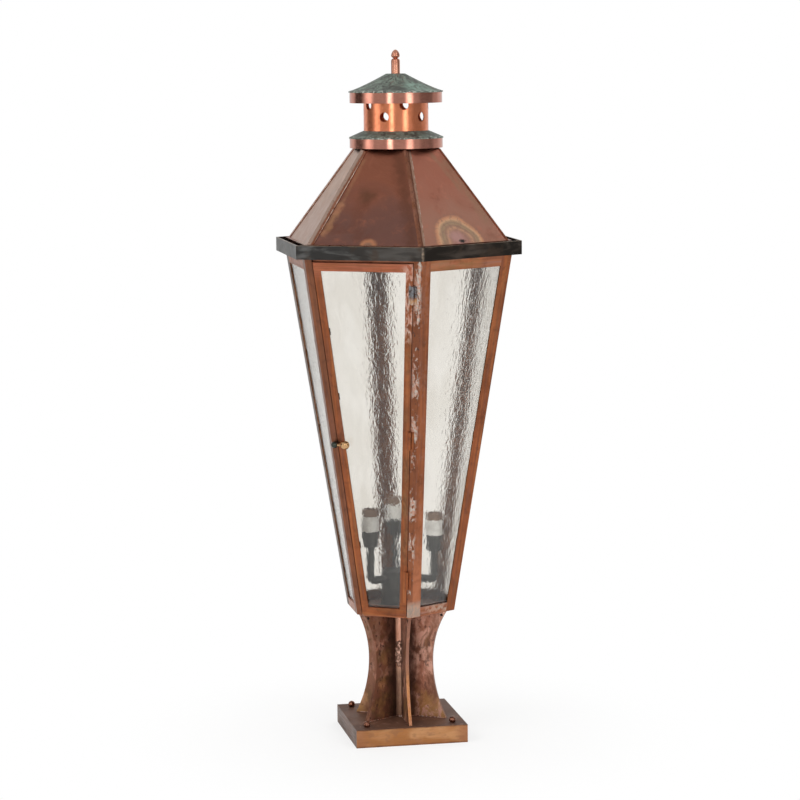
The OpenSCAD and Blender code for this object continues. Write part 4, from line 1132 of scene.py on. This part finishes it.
# The eave band is a bent copper strip round the top of the body, blackened and waxed to a satin. Wear has
# brightened its upper rim, and a painted highlight runs down its front corner. Its faces left of that corner
# are painted greyer and those right of it darker, as painted light and shade.
BAND_BLACK = shade(0.044, 0.042, 0.040)
BAND_GREY = shade(0.122, 0.120, 0.116)
BAND_RIGHT_BLACK = shade(0.024, 0.019, 0.015)
BAND_RIGHT_BROWN = shade(0.080, 0.062, 0.050)
BAND_CORNER_BROWN = shade(0.064, 0.050, 0.040)
BAND_STREAK = shade(0.018, 0.016, 0.014)
BAND_RUST = shade(0.070, 0.045, 0.030)
BAND_WORN_AND_HIGHLIGHT = shade(0.36, 0.27, 0.20)

BAND_HIGHLIGHT_CORNER = (0.0, -0.1715, 0.6575)
band_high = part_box("eave_band")[1]
band = Finish("blackened_band")
wax = band.cloud(0.018, 4, band.drawn_out(2.6, 2.6, 1), swirl=0.7, rough=0.5)
streak = band.cloud(0.004, 5, band.drawn_out(8, 8, 1))
by_corner = band.fade(band.axis("X"), -0.110, -0.030, 0.0, 0.55)
# Painted light and shade: faces left of the front corner are greyer, faces right of it darker
right_side = band.fade(band.axis("X"), -0.002, 0.006)
left_colour = band.coat(band.fade(wax, 0.42, 0.60), BAND_BLACK, BAND_GREY)
right_colour = band.coat(band.fade(wax, 0.46, 0.66), BAND_RIGHT_BLACK, BAND_RIGHT_BROWN)
left_colour = band.coat(by_corner, left_colour, BAND_CORNER_BROWN)
band_colour = band.coat(right_side, left_colour, right_colour)
band_colour = band.coat(band.fade(streak, 0.52, 0.70, 0.0, 0.45), band_colour, BAND_STREAK)
brownish = band.times(band.fade(band.cloud(0.025, 4), 0.54, 0.66), 0.5)
band_colour = band.coat(brownish, band_colour, BAND_RUST)
# Painted highlight down the front corner
corner_highlight = band.near(BAND_HIGHLIGHT_CORNER, 0.0022, 0.5, 0.3, (1, 2, 8))
top_wear = band.fade(band.axis("Z"), band_high.z - 0.0009, band_high.z - 0.0003, 0.0, 0.6)
wear_and_highlight = band.times(
    band.sum("MAXIMUM", corner_highlight, top_wear),
    band.fade(band.cloud(0.004, 4, band.drawn_out(3, 3, 1)), 0.36, 0.56, 0.25, 1.0),
)
band_colour = band.coat(wear_and_highlight, band_colour, BAND_WORN_AND_HIGHLIGHT)
band_gloss = band.fade(wax, 0.35, 0.65, 0.30, 0.46)
dress(
    band.surface(band_colour, band_gloss, 0.85, band.plus(wax, band.times(streak, 0.3)), 0.0004),
    "eave_band",
)

# The roof is six flat copper sheets, soldered over their hips. Each sheet is given its own colour, oxide
# with the light and dark it reflects painted in as painted reflection, and the torch has left coloured rings
# near the eave of the front sheet and streaks along the hips.

# Each sheet's colour near its top and near the eave, with its reflection painted in
ROOF_OXIDE_AND_REFLECTION = {
    1: (shade(0.535, 0.205, 0.136), shade(0.540, 0.262, 0.186)),
    2: (shade(0.38, 0.150, 0.100), shade(0.34, 0.145, 0.105)),
    3: (shade(0.30, 0.120, 0.080), shade(0.26, 0.110, 0.082)),
    4: (shade(0.32, 0.125, 0.085), shade(0.27, 0.112, 0.085)),
    5: (shade(0.50, 0.325, 0.240), shade(0.48, 0.320, 0.250)),
    6: (shade(0.315, 0.115, 0.070), shade(0.215, 0.102, 0.080)),
}
# The eave's height and its distance from the middle, and how fast a sheet closes in above it
ROOF_EAVE = (0.6667, 0.13302)
ROOF_CLOSING = 0.6779
RING_CENTRE = (0.0595, -0.1150, 0.6700)
RING_REACH = 0.0362
PINK_AT = (0.0548, -0.1146, 0.6762)
BURNT_AT = (0.0640, -0.1144, 0.6696)
STREAK_TOP = (-0.0508, -0.0416, 0.7723)
STREAK_BEND = (-0.0859, -0.0654, 0.7160)
STREAK_FOOT = (-0.1095, -0.0775, 0.6826)
SMOKE_AT = (-0.0533, -0.0743, 0.7287)
MAUVE_AT = (-0.078, -0.112, 0.690)
SPOT_RIM_AT = (-0.0598, -0.1157, 0.6675)
SPOT_AT = (-0.0598, -0.1157, 0.6665)
# Colours of the ring, from its middle outwards
RING_COLOURS = [
    (0.00, shade(0.70, 0.38, 0.34)), (0.16, shade(0.62, 0.32, 0.27)), (0.32, shade(0.58, 0.32, 0.24)),
    (0.42, shade(0.78, 0.46, 0.29)), (0.50, shade(0.52, 0.31, 0.22)), (0.57, shade(0.58, 0.40, 0.25)),
    (0.63, shade(0.50, 0.34, 0.23)), (0.73, shade(0.92, 0.56, 0.33)), (0.81, shade(0.86, 0.43, 0.25)),
    (0.90, shade(0.54, 0.265, 0.185)), (1.00, shade(0.54, 0.240, 0.168)),
]
RING_BLOTCH = shade(0.42, 0.235, 0.19)
SEAM_GOLD = shade(0.46, 0.27, 0.17)
RING_PINK = shade(0.72, 0.42, 0.38)
RING_BURNT = shade(0.070, 0.055, 0.050)
STREAK_GOLD = shade(0.46, 0.240, 0.120)
STREAK_ORANGE = shade(0.52, 0.25, 0.140)
ROOF_SMOKE = shade(0.115, 0.060, 0.036)
BESIDE_HIP_DARK = shade(0.135, 0.055, 0.034)
ROOF_MAUVE = shade(0.170, 0.092, 0.078)
SPOT_RIM = shade(0.54, 0.240, 0.130)
SPOT_MIDDLE = shade(0.34, 0.185, 0.125)


def roof_point(number, across, height_at):
    """A point on the outside of a roof sheet: metres to the right of its middle, and its height."""
    turn = math.radians(-60 + 60 * (number - 1))
    out = ROOF_EAVE[1] - (height_at - ROOF_EAVE[0]) * ROOF_CLOSING
    return Vector(
        (
            out * math.cos(turn) - across * math.sin(turn),
            out * math.sin(turn) + across * math.cos(turn),
            height_at,
        )
    )


def heat_rings(made, under, centre, reach, strength):
    """Oxide colours in rings round a place where the torch stood."""
    away = made.vector("DISTANCE", made.place, centre)["Value"]
    wander = made.sway(made.cloud(reach * 0.80, 0.0), reach * 0.34)
    share = made.sum("DIVIDE", made.plus(away, wander), reach * 1.22)
    ramp = made.nodes.new("ShaderNodeValToRGB")
    bands = ramp.color_ramp.elements
    while len(bands) < len(RING_COLOURS):
        bands.new(0.5)
    for stop, (at, ring_shade) in zip(bands, RING_COLOURS):
        stop.position = at
        stop.color = ring_shade
    made.links.new(share, ramp.inputs["Fac"])
    blotches = made.coat(
        made.fade(made.cloud(0.005, 5, swirl=0.6), 0.48, 0.62, 0.0, 0.45),
        ramp.outputs["Color"],
        RING_BLOTCH,
    )
    return made.coat(made.fade(share, 0.86, 1.05, strength, 0.0), under, blotches)


def roof_sheet(number):
    """One sheet's oxide and painted reflection; sheets 1 and 6, at the front, have marks of their own."""
    upper, lower = ROOF_OXIDE_AND_REFLECTION[number]
    made = Finish(f"roof_copper_{number}")
    broad = made.cloud(0.050, 5, swirl=0.8)
    small = made.cloud(0.012, 6, swirl=0.5, rough=0.62)
    rise = made.fade(made.axis("Z"), 0.665, 0.785)
    colour = made.coat(
        made.fade(made.plus(made.times(rise, 0.7), made.times(broad, 0.6)), 0.35, 0.85), lower, upper
    )
    deeper = tuple(0.62 * part for part in upper[:3]) + (1,)
    lighter = tuple(min(0.9, 1.35 * part) for part in upper[:3]) + (1,)
    colour = made.coat(made.fade(broad, 0.52, 0.70, 0.0, 0.50), colour, deeper)
    colour = made.coat(made.fade(made.cloud(0.032, 5, swirl=0.6), 0.56, 0.70, 0.0, 0.45), colour, lighter)
    colour = made.coat(made.fade(small, 0.54, 0.72, 0.0, 0.30), colour, lighter)
    if number == 1:
        edge = made.line(roof_point(1, 0.030, 0.768), roof_point(1, 0.056, 0.694), 0.012, 0.8)
        second = made.line(roof_point(1, 0.012, 0.780), roof_point(1, 0.036, 0.730), 0.007, 0.8)
        colour = made.coat(made.times(made.sum("MAXIMUM", edge, second), 0.55), colour, SEAM_GOLD)
        colour = heat_rings(made, colour, RING_CENTRE, RING_REACH, 0.92)
        pink = made.near(PINK_AT, 0.012, 0.8, 1.0, (1.5, 1.5, 0.8))
        colour = made.coat(made.times(pink, 0.7), colour, RING_PINK)
        burnt = made.near(BURNT_AT, 0.0042, 0.6, 1.0, (1.8, 1.8, 0.7))
        colour = made.coat(burnt, colour, RING_BURNT)
    if number == 6:
        hot = made.coat(made.fade(small, 0.40, 0.60), STREAK_GOLD, STREAK_ORANGE)
        upper_streak = made.times(0.45, made.line(STREAK_TOP, STREAK_BEND, 0.0042, 0.9))
        lower_streak = made.line(STREAK_BEND, STREAK_FOOT, 0.0082, 0.9)
        colour = made.coat(made.times(made.sum("MAXIMUM", upper_streak, lower_streak), 0.75), colour, hot)
        cloud_at = made.near(SMOKE_AT, 0.018, 0.9, 1.0)
        colour = made.coat(made.times(cloud_at, 0.55), colour, ROOF_SMOKE)
        beside_hip = made.line(roof_point(6, 0.022, 0.780), roof_point(6, 0.066, 0.672), 0.016, 0.5)
        colour = made.coat(made.times(beside_hip, 0.55), colour, BESIDE_HIP_DARK)
        mauve = made.near(MAUVE_AT, 0.032, 0.9, 1.0)
        colour = made.coat(made.times(mauve, 0.45), colour, ROOF_MAUVE)
        spot_ring = made.near(SPOT_RIM_AT, 0.0125, 0.5, 0.4, (1.15, 1.15, 0.75))
        spot_core = made.near(SPOT_AT, 0.0072, 0.6, 0.4, (1.15, 1.15, 0.75))
        colour = made.coat(spot_ring, colour, SPOT_RIM)
        colour = made.coat(spot_core, colour, SPOT_MIDDLE)
    gloss = made.fade(small, 0.3, 0.7, 0.32, 0.46)
    made_waves = made.plus(made.times(broad, 2.0), made.times(small, 0.6))
    return made.surface(colour, gloss, 1.0, made_waves, 0.0005)


for number in ROOF_OXIDE_AND_REFLECTION:
    dress(roof_sheet(number), f"roof_panel_{number}")

# The hips are covered by folded copper strips, which lap over the sheet to their right. The curb under the
# roof is of the same copper, and carries the sheets on the band. The two front hips carry a painted
# highlight, a painted shadow line and a painted reflection of a rounded fold.
HIP_BROWN = shade(0.27, 0.105, 0.058)
HIP_RED = shade(0.36, 0.155, 0.098)
HIP_LINE = shade(0.185, 0.085, 0.062)
HIP_FOLD_REFLECTION = shade(0.47, 0.33, 0.265)
HIP_HIGHLIGHT = shade(0.56, 0.37, 0.28)
HIP_SHADOW_LINE = shade(0.105, 0.050, 0.035)
# Half the width of a roof sheet, drawn on down to height zero, and how much of it each metre up takes off
SHEET_HALF = 0.33775
SHEET_CLOSING = 0.39139

hips = Finish("hip_copper")
hip_lines = hips.cloud(0.004, 4, hips.drawn_out(1, 1, 6))
hip_patches = hips.cloud(0.014, 5, hips.drawn_out(1, 1, 2), swirl=0.6)
hip_colour = hips.coat(hips.fade(hip_patches, 0.40, 0.60), HIP_BROWN, HIP_RED)
hip_colour = hips.coat(hips.fade(hip_lines, 0.52, 0.68, 0.0, 0.6), hip_colour, HIP_LINE)
front_left_hip = hips.times(
    hips.fade(hips.axis("X"), -0.040, -0.035, 1.0, 0.0), hips.fade(hips.axis("Y"), -0.012, -0.008, 1.0, 0.0)
)
from_hip = hips.plus(
    hips.plus(hips.times(hips.axis("X"), 0.866), hips.times(hips.axis("Y"), -0.5)),
    hips.minus(SHEET_HALF, hips.times(hips.axis("Z"), SHEET_CLOSING)),
)
# Painted reflection: the front-left hip's strip is grey near its fold, as a rounded fold reflects
fold_reflection = hips.times(
    front_left_hip, hips.fade(hips.plus(from_hip, hips.sway(hip_patches, 0.006)), 0.0035, 0.0060, 1.0, 0.0)
)
hip_colour = hips.coat(fold_reflection, hip_colour, HIP_FOLD_REFLECTION)
front_hip = hips.times(
    hips.fade(hips.sum("ABSOLUTE", hips.axis("X")), 0.014, 0.016, 1.0, 0.0),
    hips.fade(hips.axis("Y"), -0.020, -0.010, 1.0, 0.0),
)
from_front = hips.plus(
    hips.plus(hips.times(hips.axis("X"), 0.866), hips.times(hips.axis("Y"), 0.5)),
    hips.minus(SHEET_HALF, hips.times(hips.axis("Z"), SHEET_CLOSING)),
)
ragged_from = hips.plus(from_front, hips.sway(hips.cloud(0.006, 4), 0.003))
# Painted highlight along the fold of the front hip
hip_highlight = hips.times(front_hip, hips.fade(ragged_from, 0.0050, 0.0066, 0.0, 0.75))
hip_colour = hips.coat(hip_highlight, hip_colour, HIP_HIGHLIGHT)
# Painted shadow: a thin dark line beside the front hip's highlight
hip_shadow_line = hips.times(
    front_hip, hips.fade(hips.sum("ABSOLUTE", hips.minus(ragged_from, 0.0040)), 0.0004, 0.0013, 0.6, 0.0)
)
hip_colour = hips.coat(hip_shadow_line, hip_colour, HIP_SHADOW_LINE)
dress(
    hips.surface(hip_colour, hips.fade(hip_lines, 0.3, 0.7, 0.26, 0.42), 1.0, hip_patches, 0.0002),
    "hip_strips",
    "roof_curb",
)

# A thin white line of solder runs down the edge of each strip and holds it to the sheet. It was laid with an
# iron along the fold, so it is uneven, with bare copper showing in places.
HIP_LAP = 0.00946
HIP_TOP, HIP_FOOT = 0.778, 0.6685
HIP_BEAD = 0.00055
HIP_STEPS = 110
# How far a sheet faces outwards and how far up
SHEET_OUT, SHEET_UP = 0.828, 0.561
HIP_SOLDER_WHITE = shade(0.62, 0.46, 0.38)
HIP_SOLDER_BROWN = shade(0.40, 0.21, 0.14)

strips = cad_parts["hip_strips"].data
hip_tree = BVHTree.FromPolygons(
    [v.co for v in strips.vertices],
    [tuple(p.vertices) for p in strips.polygons],
)
hip_runs = []
for number in range(1, 7):
    path = []
    turn = math.radians(-60 + 60 * (number - 1))
    outward = Vector((math.cos(turn) * SHEET_OUT, math.sin(turn) * SHEET_OUT, SHEET_UP))
    for step in range(HIP_STEPS):
        level = HIP_TOP + (HIP_FOOT - HIP_TOP) * step / (HIP_STEPS - 1)
        half = (ROOF_EAVE[1] - (level - ROOF_EAVE[0]) * ROOF_CLOSING) * math.tan(math.radians(30))
        spot_on = roof_point(number, -half + HIP_LAP - 0.0006, level)
        hit = hip_tree.ray_cast(spot_on + outward * 0.01, -outward, 0.02)[0]
        path.append((hit if hit else spot_on + outward * 0.0004) + Vector((0, 0, 0.0001)))
    hip_runs.append((path, HIP_BEAD))
white_solder = Finish("hip_solder")
white_cloud = white_solder.cloud(0.005, 5)
white_colour = white_solder.coat(
    white_solder.fade(white_cloud, 0.42, 0.60), HIP_SOLDER_WHITE, HIP_SOLDER_BROWN
)
beads(
    "hip_solder", hip_runs, white_solder.surface(white_colour, 0.34, 0.9, white_cloud, 0.0001), uneven=0.9
)

# The two rims of the vent are rings of copper strip, polished bright and soldered under the brim and under
# the cap.
RIM_BRIGHT = shade(0.65, 0.285, 0.208)
RIM_DEEP = shade(0.55, 0.232, 0.172)


def bright_copper(name, colour, second, gloss, drawn, depth):
    """Polished copper with fine lines. drawn is how much longer the lines are along X, Y and Z."""
    made = Finish(name)
    lines = made.cloud(0.003, 4, made.drawn_out(*drawn))
    cloudy = made.cloud(0.012, 5, swirl=0.6)
    mixed = made.coat(made.fade(cloudy, 0.40, 0.64), colour, second)
    shine = made.fade(
        made.plus(made.times(lines, 0.4), made.times(cloudy, 0.6)), 0.3, 0.7, gloss[0], gloss[1]
    )
    return made.surface(mixed, shine, 1.0, lines, depth)


dress(
    bright_copper("rim_copper", RIM_BRIGHT, RIM_DEEP, (0.09, 0.17), (3, 3, 1), 0.00002),
    "lower_rim",
    "upper_rim",
)

# The collar is a rolled copper tube with two rows of holes, which let the warm air out. It is brushed round
# and still bright.
COLLAR_BRIGHT = shade(0.85, 0.286, 0.148)
COLLAR_DEEP = shade(0.71, 0.226, 0.108)

dress(
    bright_copper("collar_copper", COLLAR_BRIGHT, COLLAR_DEEP, (0.15, 0.26), (2, 2, 3), 0.00002),
    "vent_collar",
)

# The lower brim and the cap are spun copper under a grey-green patina, which rain has streaked outwards.
# Drops of solder have whitened the lip of the lower brim.
PATINA_DARK = shade(0.085, 0.098, 0.080)
PATINA_GREEN = shade(0.235, 0.290, 0.240)
RAIN_STREAK = shade(0.050, 0.048, 0.042)
BARE_PATCH = shade(0.19, 0.105, 0.075)
PATINA_BRIGHT = shade(0.30, 0.44, 0.36)
SOOT = shade(0.045, 0.040, 0.036)
LIP_WHITE = shade(0.60, 0.62, 0.55)
BRIGHT_GREEN_AT = (0.022, -0.045, 0.868)
SOOT_AT = (-0.006, -0.052, 0.864)

patina = Finish("verdigris")
around = patina.sum("ARCTAN2", patina.axis("X"), patina.times(patina.axis("Y"), -1.0))
from_middle = patina.vector("LENGTH", patina.outward())["Value"]
polar = patina.nodes.new("ShaderNodeCombineXYZ")
patina.links.new(patina.times(around, 0.045), polar.inputs["X"])
patina.links.new(patina.times(from_middle, 0.35), polar.inputs["Y"])
patina.links.new(patina.axis("Z"), polar.inputs["Z"])
rain = patina.cloud(0.005, 5, polar.outputs[0], swirl=0.5, rough=0.65)
crust = patina.cloud(0.010, 6, swirl=0.5, rough=0.7)
green = patina.coat(patina.fade(crust, 0.38, 0.62), PATINA_DARK, PATINA_GREEN)
green = patina.coat(patina.fade(rain, 0.48, 0.62, 0.0, 0.85), green, RAIN_STREAK)
green = patina.coat(patina.fade(patina.cloud(0.016, 4, swirl=1.0), 0.58, 0.70, 0.0, 0.7), green, BARE_PATCH)
bright_green = patina.near(BRIGHT_GREEN_AT, 0.026, 0.9, 1.0, (1.2, 1, 1))
green = patina.coat(
    patina.times(bright_green, patina.fade(crust, 0.40, 0.55, 0.1, 0.75)), green, PATINA_BRIGHT
)
sooty = patina.near(SOOT_AT, 0.016, 0.9, 1.0, (1.6, 1, 0.8))
green = patina.coat(patina.times(sooty, 0.7), green, SOOT)
lip = patina.times(
    patina.fade(from_middle, 0.0560, 0.0600), patina.fade(patina.cloud(0.0030, 4), 0.52, 0.62)
)
green = patina.coat(patina.times(lip, 0.8), green, LIP_WHITE)
dress(
    patina.surface(green, patina.fade(crust, 0.3, 0.7, 0.45, 0.7), 0.45, patina.plus(rain, crust), 0.0006),
    "lower_brim",
    "upper_cap",
)

# The finial is turned from copper and screws down on a brass stud. The stud stands in a copper strap across
# the collar, and so the finial holds the cap.
FINIAL_BRIGHT = shade(0.68, 0.320, 0.215)
FINIAL_DEEP = shade(0.52, 0.220, 0.145)

dress(
    bright_copper("finial_copper", FINIAL_BRIGHT, FINIAL_DEEP, (0.16, 0.28), (1, 1, 1), 0.000004), "finial"
)
dress(posts.material, "cap_strap")
dress(brass.material, "finial_stud")
